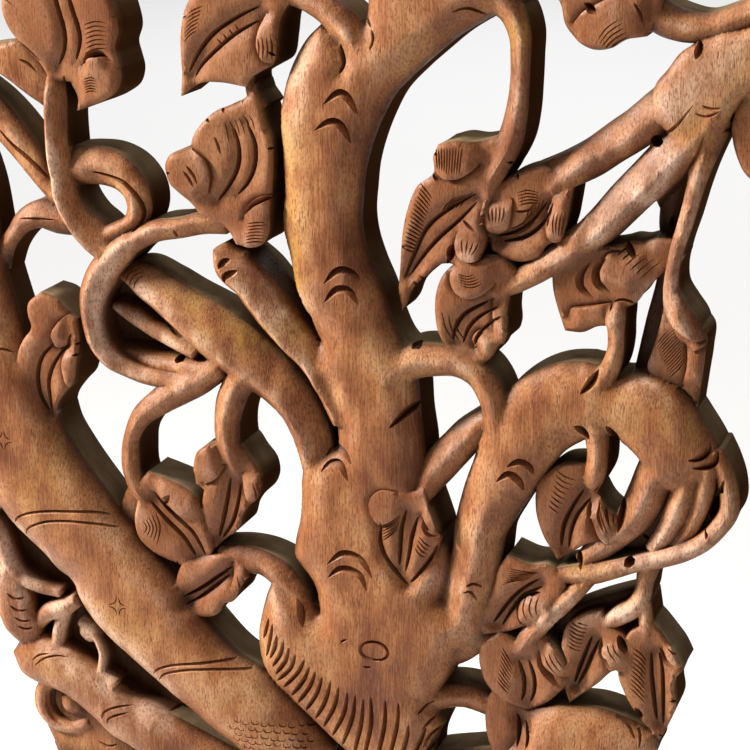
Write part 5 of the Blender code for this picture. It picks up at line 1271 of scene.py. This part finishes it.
def splitPinches(at, tri, gap=0.04):  # a point where two stretches of edge only touch becomes two
    leaving = {}
    for a, b in borderOf(tri):
        leaving.setdefault(a, []).append(b)
    at, tri = list(map(tuple, at)), tri.copy()
    for spot in [a for a, ways in leaving.items() if len(ways) > 1]:
        groups = []
        for t in np.flatnonzero((tri == spot).any(1)):
            others = set(tri[t]) - {spot}
            touching = [g for g in groups if g[0] & others]
            corners = set().union(others, *[g[0] for g in touching])
            merged = (corners, [t] + [face for g in touching for face in g[1]])
            groups = [g for g in groups if g not in touching] + [merged]
        place = np.array(at[spot])
        for turn, (_, faces) in enumerate(groups):
            towards = np.mean([np.mean([at[v] for v in tri[t]], 0) for t in faces], 0) - place
            moved = tuple(place + towards / max(math.hypot(*towards), 1e-6) * gap)
            if turn == 0:
                at[spot] = moved
                continue
            at.append(moved)
            for t in faces:
                tri[t][tri[t] == spot] = len(at) - 1
    return np.array(at), tri


def backOf(points, loops):  # the triangles of the flat, found by walking in from outside across the loops
    out, edges, triangles, origins, edgeOrigins, _ = delaunay_2d_cdt(points, loops, [], 0, 1e-6)
    walls = {frozenset(edge) for edge, source in zip(edges, edgeOrigins) if source}
    touching = {}
    for i, face in enumerate(triangles):
        for k in range(3):
            touching.setdefault(frozenset((face[k], face[(k + 1) % 3])), []).append(i)
    within, queue = {}, []
    for edge, pair in touching.items():
        if len(pair) == 1 and pair[0] not in within:
            within[pair[0]] = edge in walls
            queue.append(pair[0])
    while queue:
        i = queue.pop()
        face = triangles[i]
        for k in range(3):
            edge = frozenset((face[k], face[(k + 1) % 3]))
            for j in touching[edge]:
                if j not in within:
                    within[j] = within[i] != (edge in walls)
                    queue.append(j)
    faces = []
    for i, face in enumerate(triangles):
        if within[i]:
            source = tuple(origins[v][0] for v in face)
            p, q, r = (out[v] for v in face)
            area = (q.x - p.x) * (r.y - p.y) - (r.x - p.x) * (q.y - p.y)
            faces.append(source if area < 0 else source[::-1])
    return faces


def outwardAt(at, border, rim):
    ahead = np.zeros((len(at), 2))
    for a, b in border:
        way = at[b] - at[a]
        way = way / max(math.hypot(*way), 1e-6)
        ahead[a] += way
        ahead[b] += way
    outward = np.column_stack([ahead[:, 1], -ahead[:, 0]])[rim]
    return outward / np.maximum(np.hypot(outward[:, 0], outward[:, 1]), 0.3)[:, None]


def placed(name, data):
    obj = bpy.data.objects.new(name, data)
    bpy.context.scene.collection.objects.link(obj)
    return obj


def finished(obj):  # its mesh with the modifiers worked in
    graph = bpy.context.evaluated_depsgraph_get()
    mesh = bpy.data.meshes.new_from_object(obj.evaluated_get(graph), depsgraph=graph)
    obj.modifiers.clear()
    return mesh


def buildPanel():  # the carved face, rows of wall down from its rim, and the flat back
    at, tri = splitPinches(*faceTriangles())
    _, height = carvedFace(at[:, 0], at[:, 1])
    border = np.array(borderOf(tri))
    rim = np.unique(border)
    print("rim points", len(rim))
    outward = outwardAt(at, border, rim)
    rows = panelMesh["wallRows"]
    points = [np.column_stack([at[:, 0], -height, at[:, 1]])]
    for row in range(1, rows + 1):
        share = row / rows
        push = 0.0
        if row < rows:
            spread = at[rim, 0] + at[rim, 1] * panelMesh["wallSlope"]
            seed = panelMesh["wallSeed"] + row
            rough = unevenness(spread, height[rim] * share, panelMesh["wallSize"], seed)
            push = panelMesh["wallWander"] * (rough - panelMesh["wallInset"])
        where = at[rim] + outward * np.reshape(push, (-1, 1))
        points.append(np.column_stack([where[:, 0], -height[rim] * (1 - share), where[:, 1]]))
    slot = np.full(len(at), -1)
    slot[rim] = np.arange(len(rim))
    rings = [np.arange(len(at))] + [len(at) + row * len(rim) + slot for row in range(rows)]
    faces = [tuple(t) for t in tri.tolist()]
    a, b = border[:, 0], border[:, 1]
    for upper, lower in zip(rings, rings[1:]):
        faces += list(map(tuple, np.column_stack([upper[b], upper[a], lower[a], lower[b]]).tolist()))
    loops = [(int(slot[p]), int(slot[q])) for p, q in border]
    first = len(at) + (rows - 1) * len(rim)
    faces += [tuple(first + v for v in face) for face in backOf([Vector(at[v]) for v in rim], loops)]
    mesh = bpy.data.meshes.new("carvedPanel")
    mesh.from_pydata((np.concatenate(points) * mm).tolist(), [], faces)
    sawn = np.ones(len(mesh.polygons), np.int32)
    sawn[:len(tri)] = 0
    mesh.polygons.foreach_set("material_index", sawn)
    return placed("carvedPanel", mesh)


# Every gouge cut is a short route over the carved face. A cutter is swept along it, and the cutters are taken
# away from the panel. Sizes are half the width and the depth of the cut; the bias moves its bottom to a side.
cuts = {
    "vein": {"half": 1.7, "depth": 4.2, "fullness": 0.4},
    "crescent": {"half": 2.9, "depth": 5.4, "fullness": 0.85, "bias": -0.75},
    "band": {"half": 1.5, "depth": 2.3, "fullness": 0.3, "bias": -0.5},
    "flute": {"half": 1.75, "depth": 4.4, "fullness": 0.45, "bias": -0.4},
    "notch": {"half": 3.2, "depth": 7.0, "fullness": 0.7},
    "pit": {"half": 3.6, "depth": 10.0, "fullness": 0.3, "round": True},
    "nick": {"half": 1.3, "depth": 5.0, "fullness": 0.6},
    "line": {"half": 1.3, "depth": 1.9, "fullness": 0.5},
    "hatch": {"half": 0.62, "depth": 1.2, "fullness": 0.6},
}
sweep = {
    "spacing": 2.0, "clearAbove": 3.0, "endWidth": 0.1, "smoothing": 6, "missHeight": 36.0,
    "before": 100, "ray": 500,  # the routes start this far before the panel, and look this far back for it
    "routeStep": 1.5, "gap": 0.5, "sliver": 0.001,
}


def feed(tree, socket, value):
    if hasattr(value, "node"):
        tree.links.new(value, socket)
    else:
        socket.default_value = value


def shadeNode(tree, kind, **settings):
    node = tree.nodes.new(kind)
    for label, value in settings.items():
        setattr(node, label, value)
    return node


def maths(tree, operation, a, b=0.0, clamp=False):
    node = shadeNode(tree, "ShaderNodeMath", operation=operation, use_clamp=clamp)
    feed(tree, node.inputs[0], a)
    feed(tree, node.inputs[1], b)
    return node.outputs[0]


def gougeTree():
    tree = bpy.data.node_groups.new("sweptGouges", "GeometryNodeTree")
    tree.interface.new_socket("Geometry", in_out="INPUT", socket_type="NodeSocketGeometry")
    tree.interface.new_socket("Geometry", in_out="OUTPUT", socket_type="NodeSocketGeometry")
    for label, kind in [
        ("Panel", "Object"), ("Section", "Object"), ("Spacing", "Float"), ("Clear Above", "Float"),
        ("End Width", "Float"), ("Fullness", "Float"), ("Smoothing", "Int"), ("Miss Height", "Float"),
        ("Wood", "Material"),
    ]:
        tree.interface.new_socket(label, in_out="INPUT", socket_type="NodeSocket" + kind)

    def add(kind, settings=(), **inputs):
        node = shadeNode(tree, kind, **dict(settings))
        for label, value in inputs.items():
            feed(tree, node.inputs[label.replace("_", " ")], value)
        return node

    given = add("NodeGroupInput").outputs
    route = add("GeometryNodeMeshToCurve", Mesh=given["Geometry"])
    bent = add("GeometryNodeCurveSplineType", {"spline_type": "CATMULL_ROM"}, Curve=route.outputs[0])
    stepped = add("GeometryNodeResampleCurve", {"mode": "LENGTH"}, Curve=bent.outputs[0],
                  Length=given["Spacing"])

    # drop the route onto the carved face, and iron out the steps it meets
    wood = add("GeometryNodeObjectInfo", Object=given["Panel"])
    here = add("GeometryNodeInputPosition").outputs[0]
    ray = add("GeometryNodeRaycast", Target_Geometry=wood.outputs["Geometry"], Source_Position=here,
              Ray_Direction=(0, 1, 0), Ray_Length=sweep["ray"] * mm)
    hit = add("ShaderNodeSeparateXYZ", Vector=ray.outputs["Hit Position"])
    pick = add("GeometryNodeSwitch", {"input_type": "FLOAT"}, Switch=ray.outputs["Is Hit"])
    feed(tree, pick.inputs["False"], given["Miss Height"])
    feed(tree, pick.inputs["True"], hit.outputs["Y"])
    even = add("GeometryNodeBlurAttribute", {"data_type": "FLOAT"}, Value=pick.outputs[0],
               Iterations=given["Smoothing"])
    flat = add("ShaderNodeSeparateXYZ", Vector=here)
    laid = add("ShaderNodeCombineXYZ", X=flat.outputs["X"], Y=even.outputs[0], Z=flat.outputs["Z"])
    dropped = add("GeometryNodeSetPosition", Geometry=stepped.outputs[0], Position=laid.outputs[0])
    facing = add("GeometryNodeSetCurveNormal", {"mode": "FREE"}, Curve=dropped.outputs[0], Normal=(0, -1, 0))

    # narrow and shallow at both ends
    share = add("GeometryNodeSplineParameter").outputs["Factor"]
    arch = maths(tree, "SINE", maths(tree, "MULTIPLY", share, math.pi))
    lens = maths(tree, "POWER", arch, given["Fullness"])
    swelling = maths(tree, "MULTIPLY", lens, maths(tree, "SUBTRACT", 1.0, given["End Width"]))
    width = maths(tree, "ADD", swelling, given["End Width"])
    section = add("GeometryNodeObjectInfo", Object=given["Section"])
    profile = add("GeometryNodeMeshToCurve", Mesh=section.outputs["Geometry"])
    swept = add("GeometryNodeCurveToMesh", Curve=facing.outputs[0], Profile_Curve=profile.outputs[0],
                Scale=width, Fill_Caps=True)
    flag = add("GeometryNodeInputNamedAttribute", {"data_type": "FLOAT"}, Name="above")
    height = maths(tree, "MULTIPLY", flag.outputs[0], given["Clear Above"])
    lift = add("ShaderNodeCombineXYZ", Y=maths(tree, "MULTIPLY", height, -1.0))
    raised = add("GeometryNodeSetPosition", Geometry=swept.outputs[0], Offset=lift.outputs[0])
    real = add("GeometryNodeRealizeInstances", Geometry=raised.outputs[0])
    done = add("GeometryNodeSetMaterial", Geometry=real.outputs[0], Material=given["Wood"])
    feed(tree, add("NodeGroupOutput").inputs[0], done.outputs[0])
    return tree


def cutSection(name, size):
    half, depth = size["half"], size["depth"]
    if size.get("round"):
        turns = [math.pi * i / 6 for i in range(7)]
        below = [(-half * math.cos(a), -depth * math.sin(a)) for a in turns]
    else:
        below = [(-half, 0), (size.get("bias", 0) * half, -depth), (half, 0)]
    points = below + [(half, 0), (-half, 0)]
    mesh = bpy.data.meshes.new(name + "Section")
    count = len(points)
    ring = [(i, (i + 1) % count) for i in range(count)]
    mesh.from_pydata([(up * mm, side * mm, 0) for side, up in points], ring, [])
    mesh.attributes.new("above", "FLOAT", "POINT").data.foreach_set("value", [0.0] * (count - 2) + [1.0, 1.0])
    return placed(name + "Section", mesh)


def sweepCutter(name, tree, panel, section, routes, size):
    points, edges = [], []
    for route in routes:
        start = len(points)
        points += [(x * mm, -sweep["before"] * mm, z * mm) for x, z in route]
        edges += [(start + i, start + i + 1) for i in range(len(route) - 1)]
    mesh = bpy.data.meshes.new(name)
    mesh.from_pydata(points, edges, [])
    obj = placed(name, mesh)
    modifier = obj.modifiers.new("sweptGouges", "NODES")
    modifier.node_group = tree
    values = {
        "Panel": panel, "Section": section, "Spacing": sweep["spacing"] * mm,
        "Clear Above": sweep["clearAbove"] * mm, "End Width": sweep["endWidth"], "Fullness": size["fullness"],
        "Smoothing": sweep["smoothing"], "Miss Height": -sweep["missHeight"] * mm,
        "Wood": panel.data.materials[0],
    }
    for item in tree.interface.items_tree:
        if item.name in values and item.in_out == "INPUT":
            modifier[item.identifier] = values[item.name]
    made = finished(obj)
    form = bmesh.new()
    form.from_mesh(made)
    bmesh.ops.recalc_face_normals(form, faces=form.faces)
    bmesh.ops.triangulate(form, faces=form.faces)
    form.to_mesh(made)
    form.free()
    obj.data = made
    return obj


def apart(routes, gap):  # sorts the routes into sets whose members keep clear of each other
    sets = []
    for route in routes:
        line = smoothLine(route, sweep["routeStep"])
        for members in sets:
            if all(((line[:, None] - other) ** 2).sum(2).min() >= gap**2 for _, other in members):
                members.append((route, line))
                break
        else:
            sets.append([(route, line)])
    return [[route for route, _ in members] for members in sets]


def cutAway(panel, cutter):
    modifier = panel.modifiers.new("cut", "BOOLEAN")
    modifier.operation, modifier.object, modifier.solver = "DIFFERENCE", cutter, "MANIFOLD"
    panel.data = finished(panel)


def carveGouges(panel):
    tree = gougeTree()
    for name, size in cuts.items():
        section = cutSection(name, size)
        for routes in apart(gougeRoutes[name], 2 * size["half"] + sweep["gap"]):
            cutter = sweepCutter(name, tree, panel, section, routes, size)
            before = len(panel.data.polygons)
            cutAway(panel, cutter)
            print(name, len(routes), "cuts, faces", before, "to", len(panel.data.polygons))
            bpy.data.objects.remove(cutter)
        bpy.data.objects.remove(section)


def clearSlivers(panel):  # the cuts leave needle-thin triangles where they cross an edge
    form = bmesh.new()
    form.from_mesh(panel.data)
    bmesh.ops.remove_doubles(form, verts=form.verts, dist=sweep["sliver"] * mm)
    bmesh.ops.dissolve_degenerate(form, edges=form.edges, dist=sweep["sliver"] * mm)
    form.to_mesh(panel.data)
    form.free()


woodLook = {
    "dark": (0.17, 0.047, 0.018, 1.0), "middle": (0.42, 0.158, 0.056, 1.0), "light": (0.62, 0.32, 0.14, 1.0),
    # grime darkens the recesses and creases: dirt together with painted shade
    "wornAndHighlight": (0.82, 0.56, 0.42, 1.0), "ochre": (0.5, 0.27, 0.05, 1.0), "grimeAndShade": (0.04, 0.014, 0.005, 1.0),
    "leaf": (0.27, 0.095, 0.036, 1.0), "leafShare": 0.68,
    # dust lightens the walls that face up: dust together with painted light from above
    "sawn": (0.145, 0.06, 0.021, 1.0), "sawnPale": (0.25, 0.15, 0.07, 1.0), "dustAndTopLight": (0.52, 0.4, 0.24, 1.0),
    # sizes of the marks along x, y and z
    "fibre": (0.9, 0.9, 26), "pore": (1.43, 1.43, 11.7), "poreField": (9, 9, 40),
    "mottle": (14, 14, 30.8), "patch": (62, 62, 62), "tooth": (1.3, 1.3, 2.6), "sawMarks": (70, 0.9, 2.4),
    "sway": (60, 60, 120), "swayReach": (12, 12, 0),  # how the fibres wander
    # how much the crests are lightened, as wear and painted highlight, off the leaves and on them
    "wearAndHighlight": 0.66, "leafWearAndHighlight": 0.3, "dirtAndShade": 0.85, "ledgeDirtAndShade": 0.7, "creaseDirtAndShade": 0.8, "poreDark": 0.7,
    "toneShare": 0.75, "sawnTooth": 0.6, "poreDeep": 1.2, "toothDeep": 0.9,
    "sawnRough": 0.72, "shine": 0.28, "sawnShine": 0.0, "bump": 0.5, "bumpDeep": 0.4,
}
fades = {  # where an effect starts and where it is full, and how much there is of it at those two
    "poreRim": (0.3, 0.16), "poreField": (0.4, 0.62),
    "sawnPale": (0.35, 0.68), "sawMarks": (0.35, 0.75, 0.0, 0.45), "sawnDark": (0.5, 0.75, 0.0, 0.3),
    "dustAndTopLight": (0.3, 0.6, 0.4, 0.8),
    "middle": (0.52, 0.78), "light": (0.76, 1.0), "paleFibre": (0.45, 0.72, 0.0, 0.3),
    "darkFibre": (0.5, 0.3, 0.0, 0.45), "stain": (0.38, 0.55), "crest": (0.25, 1.6),
    "wornAndHighlight": (0.42, 0.62, 0.2, 1.0), "fadedAndHighlit": (0.35, 0.6, 0.3, 1.0), "tooth": (0.52, 0.32, 0.0, 0.6),
    "rough": (0.35, 0.65, 0.4, 0.66), "sunk": (0.15, 1.0), "dirtAndShade": (0.3, 0.6, 0.75, 1.0),
}
# ochre stains in the wood: x, z, half width, half height, strength
stains = [
    (-56, 120, 10, 70, 0.9), (-50, 45, 9, 30, 0.7), (-88, 23, 34, 10, 0.9), (-122, 42, 28, 8, 0.7),
    (-190, -195, 24, 10, 0.45), (-235, -240, 26, 9, 0.5), (100, 235, 14, 14, 0.6), (200, -10, 34, 16, 0.35),
    (160, -118, 26, 6, 0.6), (215, 180, 20, 12, 0.4), (-240, -95, 20, 26, 0.35), (-60, 20, 14, 8, 0.5),
    (12, 66, 8, 12, 0.5), (230, -60, 12, 20, 0.3),
]
# pale places, a pale patina together with painted highlight: x, z, half width, half height, strength
paleAndHighlitSpots = [
    (-50, 205, 9, 26, 0.8), (-54, 165, 7, 30, 0.35), (152, 110, 14, 12, 0.8), (172, 134, 12, 14, 0.9),
    (192, 156, 10, 12, 0.7), (122, 90, 12, 6, 0.5), (208, 205, 14, 16, 0.75), (190, 190, 14, 10, 0.6),
    (226, 226, 16, 12, 0.5), (-70, -162, 10, 8, 0.7), (165, -105, 16, 6, 0.6), (215, -98, 26, 6, 0.55),
    (168, -150, 12, 7, 0.7), (188, -132, 7, 10, 0.6), (105, -175, 5, 14, 0.5), (78, -178, 12, 5, 0.6),
    (48, -138, 12, 8, 0.5), (-190, 26, 6, 14, 0.4), (60, -20, 8, 14, 0.3), (78, 118, 7, 12, 0.5),
    (-235, -166, 20, 14, 0.4), (-200, -214, 20, 8, 0.35), (196, -85, 14, 16, 0.35), (98, 190, 5, 20, 0.35),
]


def blend(tree, share, a, b):
    node = shadeNode(tree, "ShaderNodeMix", data_type="RGBA")
    feed(tree, node.inputs[0], share)
    feed(tree, node.inputs[6], a)
    feed(tree, node.inputs[7], b)
    return node.outputs[2]


def ramp(tree, value, low, high, toLow=0.0, toHigh=1.0):
    node = shadeNode(tree, "ShaderNodeMapRange")
    for socket, number in zip(node.inputs, (value, low, high, toLow, toHigh)):
        feed(tree, socket, number)
    return node.outputs[0]


def stretched(tree, place, size):
    node = shadeNode(tree, "ShaderNodeMapping", vector_type="POINT")
    feed(tree, node.inputs["Vector"], place)
    feed(tree, node.inputs["Scale"], tuple(1 / (s * mm) for s in size))
    return node.outputs[0]


def noise(tree, place, size, detail=3.0, output=0):
    node = shadeNode(tree, "ShaderNodeTexNoise")
    feed(tree, node.inputs["Vector"], stretched(tree, place, size))
    feed(tree, node.inputs["Scale"], 1.0)
    feed(tree, node.inputs["Detail"], detail)
    return node.outputs[output]


def painted(tree, name):
    return shadeNode(tree, "ShaderNodeAttribute", attribute_name=name).outputs["Fac"]


def grainGroup():  # what the fibres and pores of the wood do, the same on a carved face and on a sawn one
    tree = bpy.data.node_groups.new("woodGrain", "ShaderNodeTree")
    tree.interface.new_socket("Place", in_out="INPUT", socket_type="NodeSocketVector")
    for name in ("Fibre", "Pores", "Mottle", "Patch", "Tooth"):
        tree.interface.new_socket(name, in_out="OUTPUT", socket_type="NodeSocketFloat")
    look, place = woodLook, tree.nodes.new("NodeGroupInput").outputs[0]
    bent = shadeNode(tree, "ShaderNodeVectorMath", operation="MULTIPLY_ADD")
    feed(tree, bent.inputs[0], noise(tree, place, look["sway"], 2.0, "Color"))
    feed(tree, bent.inputs[1], [reach * mm for reach in look["swayReach"]])
    feed(tree, bent.inputs[2], place)
    along = bent.outputs[0]
    fibre = noise(tree, along, look["fibre"], 4.0)
    cells = shadeNode(tree, "ShaderNodeTexVoronoi")
    feed(tree, cells.inputs["Vector"], stretched(tree, along, look["pore"]))
    feed(tree, cells.inputs["Scale"], 1.0)
    where = ramp(tree, noise(tree, along, look["poreField"], 2.0), *fades["poreField"])
    pores = maths(tree, "MULTIPLY", ramp(tree, cells.outputs["Distance"], *fades["poreRim"]), where)
    out = tree.nodes.new("NodeGroupOutput").inputs
    feed(tree, out["Fibre"], fibre)
    feed(tree, out["Pores"], pores)
    feed(tree, out["Mottle"], noise(tree, along, look["mottle"], 4.0))
    feed(tree, out["Patch"], noise(tree, place, look["patch"], 2.0))
    feed(tree, out["Tooth"], noise(tree, place, look["tooth"]))
    return tree


def woodMaterial(name, grain, sawn):
    look = woodLook
    material = bpy.data.materials.new(name)
    material.use_nodes = True
    tree = material.node_tree

    def fade(value, effect):
        return ramp(tree, value, *fades[effect])

    def times(a, b, clamp=False):
        return maths(tree, "MULTIPLY", a, b, clamp)

    def over(colour, share, tone):
        return blend(tree, share, colour, look[tone])

    shader = tree.nodes["Principled BSDF"]
    place = tree.nodes.new("ShaderNodeTexCoord").outputs["Object"]
    wood = shadeNode(tree, "ShaderNodeGroup", node_tree=grain)
    feed(tree, wood.inputs["Place"], place)
    fibre, pores, mottle, patch, tooth = wood.outputs
    sunk, crest, stain, hollow, ledge, pale, leaf = (
        painted(tree, i) for i in ("sunk", "crest", "stain", "hollow", "ledge", "pale", "leaf"))
    if sawn:
        marks = noise(tree, place, look["sawMarks"])  # the saw's strokes run through the board
        colour = over(look["sawn"], fade(patch, "sawnPale"), "sawnPale")
        colour = over(colour, fade(marks, "sawMarks"), "grimeAndShade")
        colour = over(colour, fade(mottle, "sawnDark"), "dark")
        # walls that face up are made paler: dust together with painted light from above
        colour = over(colour, times(ledge, fade(mottle, "dustAndTopLight")), "dustAndTopLight")
        relief = maths(tree, "ADD", marks, times(tooth, look["sawnTooth"]))
        rough = look["sawnRough"]
    else:
        tone = maths(tree, "ADD", times(mottle, look["toneShare"]), times(patch, look["toneShare"]))
        colour = over(look["dark"], fade(tone, "middle"), "middle")
        colour = over(colour, fade(tone, "light"), "light")
        colour = over(colour, fade(fibre, "paleFibre"), "light")
        colour = over(colour, fade(fibre, "darkFibre"), "dark")
        colour = over(colour, times(leaf, look["leafShare"]), "leaf")
        colour = over(colour, times(stain, fade(mottle, "stain"), True), "ochre")
        # crests, and the pale places, are lightened towards a pale pink: wear together with painted highlight
        rubbedAndHighlit = times(fade(crest, "crest"), fade(mottle, "wornAndHighlight"))
        wornAndHighlight = maths(tree, "ADD", rubbedAndHighlit, times(pale, fade(mottle, "fadedAndHighlit")))
        wornAndHighlight = times(wornAndHighlight, ramp(tree, leaf, 0.0, 1.0, look["wearAndHighlight"], look["leafWearAndHighlight"]), True)
        colour = over(colour, wornAndHighlight, "wornAndHighlight")
        relief = maths(tree, "SUBTRACT", fibre, times(pores, look["poreDeep"]))
        relief = maths(tree, "ADD", relief, times(tooth, look["toothDeep"]))
        colour = over(colour, times(pores, look["poreDark"], True), "dark")
        colour = over(colour, fade(tooth, "tooth"), "dark")
        rough = fade(mottle, "rough")
    # painted shade: where a place sits below the wood round it, and in creases, the colour is pulled towards
    # grime, dirt together with the shade of the recesses
    dirtAndShade = times(fade(sunk, "sunk"), fade(mottle, "dirtAndShade"))
    dirtAndShade = maths(tree, "ADD", dirtAndShade, times(hollow, look["creaseDirtAndShade"]), True)
    if sawn:
        dirtAndShade = times(dirtAndShade, ramp(tree, ledge, 0.0, 1.0, 1.0, look["ledgeDirtAndShade"]))
    colour = over(colour, times(dirtAndShade, look["dirtAndShade"], True), "grimeAndShade")
    bump = shadeNode(tree, "ShaderNodeBump")
    feed(tree, bump.inputs["Strength"], look["bump"])
    feed(tree, bump.inputs["Distance"], look["bumpDeep"] * mm)
    feed(tree, bump.inputs["Height"], relief)
    feed(tree, shader.inputs["Base Color"], colour)
    feed(tree, shader.inputs["Roughness"], rough)
    feed(tree, shader.inputs["Normal"], bump.outputs[0])
    shader.inputs["Specular IOR Level"].default_value = look["sawnShine" if sawn else "shine"]
    return material


paint = {
    "shadeReach": 9, "shadeSoft": 3,  # how far round a place its surroundings count, in map steps
    "sunkDepth": 20.0, "sunkMost": 1.5,  # how far below its surroundings a place looks fully sunk
    "crestReach": 7, "crestStep": 2.0, "creaseReach": 2, "creaseDepth": 2.0,
    "creaseShare": 0.5, "grooveShare": 0.25,
    "ledgeFrom": 0.15, "ledgeFull": 0.65,  # dust and painted light from above lie on edges that look up this much
    "bareFrom": 0.9,  # the flat back, which looks this much to the rear, stays bare
    "sharpAngle": 38.0,
}


def widest(values, reach):
    for axis in (0, 1):
        grown = values.copy()
        for shift in range(-reach, reach + 1):
            grown = np.maximum(grown, np.roll(values, shift, axis))
        values = grown
    return values


def spotted(x, z, spots):  # soft round patches
    total = sum(strength * np.exp(-((x - cx) / wide) ** 2 - ((z - cz) / high) ** 2)
                for cx, cz, wide, high, strength in spots)
    return np.clip(total, 0, 1)


def paintPanel(panel):
    mesh = panel.data
    flat = np.empty(len(mesh.vertices) * 3, np.float32)
    mesh.vertices.foreach_get("co", flat)
    x, y, z = (flat.reshape(-1, 3) / mm).T
    around = blurred(widest(heightMap, paint["shadeReach"]), paint["shadeSoft"])
    # sunk: how far a place sits below the wood round it, darkened as dirt and painted shade
    sunk = np.clip((mapAt(around, x, z) + y) / paint["sunkDepth"], 0, paint["sunkMost"])
    # crest: how far a place stands above the wood round it, lightened as wear and painted highlight
    crest = np.clip((-y - mapAt(levelOf(paint["crestReach"]), x, z)) / paint["crestStep"], -1, 2)
    # crease and hollow: creases and grooves, darkened as dirt and painted shade
    crease = np.clip((mapAt(levelOf(paint["creaseReach"]), x, z) + y) / paint["creaseDepth"], 0, 1)
    hollow = paint["creaseShare"] * crease - paint["grooveShare"] * np.minimum(crest, 0)
    stain, pale = spotted(x, z, stains), spotted(x, z, paleAndHighlitSpots)
    at, normals = np.empty(len(mesh.loops), np.int32), np.empty(len(mesh.loops) * 3, np.float32)
    mesh.loops.foreach_get("vertex_index", at)
    mesh.corner_normals.foreach_get("vector", normals)
    _, back, up = normals.reshape(-1, 3).T
    marks = {"sunk": sunk[at], "crest": crest[at], "stain": stain[at], "pale": pale[at],
             "hollow": hollow[at], "leaf": mapAt(leafMap, x, z)[at]}
    # ledge: how much a wall faces up, which gets dust and painted light from above
    marks["ledge"] = np.clip((up - paint["ledgeFrom"]) / (paint["ledgeFull"] - paint["ledgeFrom"]), 0, 1)
    for name, values in marks.items():
        values = np.where(back > paint["bareFrom"], 0, values).astype(np.float32)
        mesh.attributes.new(name, "FLOAT", "CORNER").data.foreach_set("value", values)


panel = buildPanel()
grain = grainGroup()
panel.data.materials.append(woodMaterial("carvedWood", grain, False))
panel.data.materials.append(woodMaterial("sawnWood", grain, True))
carveGouges(panel)
clearSlivers(panel)
panel.data.shade_smooth()
panel.data.set_sharp_from_angle(angle=math.radians(paint["sharpAngle"]))
paintPanel(panel)
triangleCount = sum(len(face.vertices) - 2 for face in panel.data.polygons)
print("panel", len(panel.data.vertices), "points,", triangleCount, "triangles")
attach(panel, "root")
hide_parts("carved_panel")

floorLook = {"below": 0.75, "size": 40.0, "colour": (0.93, 0.93, 0.935, 1.0), "rough": 0.9}
studio = {
    "sky": (1.0, 0.93, 0.85, 1.0), "skyStrength": 0.06,
    "keyFrom": (-2.55, -0.75, 1.5), "keySize": 0.6, "keyPower": 222.0, "keyColour": (1.0, 0.96, 0.88),
    "fillFrom": (1.6, -1.8, 0.6), "fillSize": 1.6, "fillPower": 1.5,
    "topFrom": (-0.4, -0.7, 2.5), "topSize": 1.5, "topPower": 18.0,
    "backdropOver": (-2.0, 8.5, 4.5), "backdropSize": 13.0, "backdropPower": 790.0,  # for the floor behind
}
view = {
    "azimuth": 17.8, "elevation": 15.6, "distance": 1.5433, "target": (0.0, -0.03, 0.0),
    "lens": 111.12, "sensor": 36.0,
}


def addLight(name, place, size, power, colour=(1, 1, 1), aim=(0, 0, 0)):
    light = bpy.data.lights.new(name, "AREA")
    light.size, light.energy, light.color = size, power, colour
    holder = placed(name, light)
    holder.location = place
    holder.rotation_euler = (Vector(aim) - Vector(place)).to_track_quat("-Z", "Y").to_euler()


def addStage():
    mesh = bpy.data.meshes.new("floor")
    half, low = floorLook["size"] / 2, board["bottom"] * mm - floorLook["below"]
    corners = [(-half, -half, low), (half, -half, low), (half, half, low), (-half, half, low)]
    mesh.from_pydata(corners, [], [(0, 1, 2, 3)])
    floor = placed("floor", mesh)
    material = bpy.data.materials.new("paleFloor")
    material.use_nodes = True
    shader = material.node_tree.nodes["Principled BSDF"]
    shader.inputs["Base Color"].default_value = floorLook["colour"]
    shader.inputs["Roughness"].default_value = floorLook["rough"]
    mesh.materials.append(material)
    world = bpy.data.worlds.new("studio")
    world.use_nodes = True
    sky = world.node_tree.nodes["Background"]
    sky.inputs["Color"].default_value = studio["sky"]
    sky.inputs["Strength"].default_value = studio["skyStrength"]
    bpy.context.scene.world = world
    addLight("key", studio["keyFrom"], studio["keySize"], studio["keyPower"], studio["keyColour"])
    addLight("fill", studio["fillFrom"], studio["fillSize"], studio["fillPower"])
    addLight("top", studio["topFrom"], studio["topSize"], studio["topPower"])
    over = studio["backdropOver"]
    addLight("backdrop", over, studio["backdropSize"], studio["backdropPower"], aim=(over[0], over[1], -10))
    bpy.context.scene.view_settings.view_transform = "Standard"


def addCamera():
    camera = bpy.data.cameras.new("camera")
    camera.lens, camera.sensor_width = view["lens"], view["sensor"]
    holder = placed("camera", camera)
    turn, rise = math.radians(view["azimuth"]), math.radians(view["elevation"])
    back = Vector((math.sin(turn) * math.cos(rise), -math.cos(turn) * math.cos(rise), math.sin(rise)))
    holder.location = Vector(view["target"]) + back * view["distance"]
    holder.rotation_euler = (-back).to_track_quat("-Z", "Y").to_euler()
    bpy.context.scene.camera = holder


addStage()
addCamera()
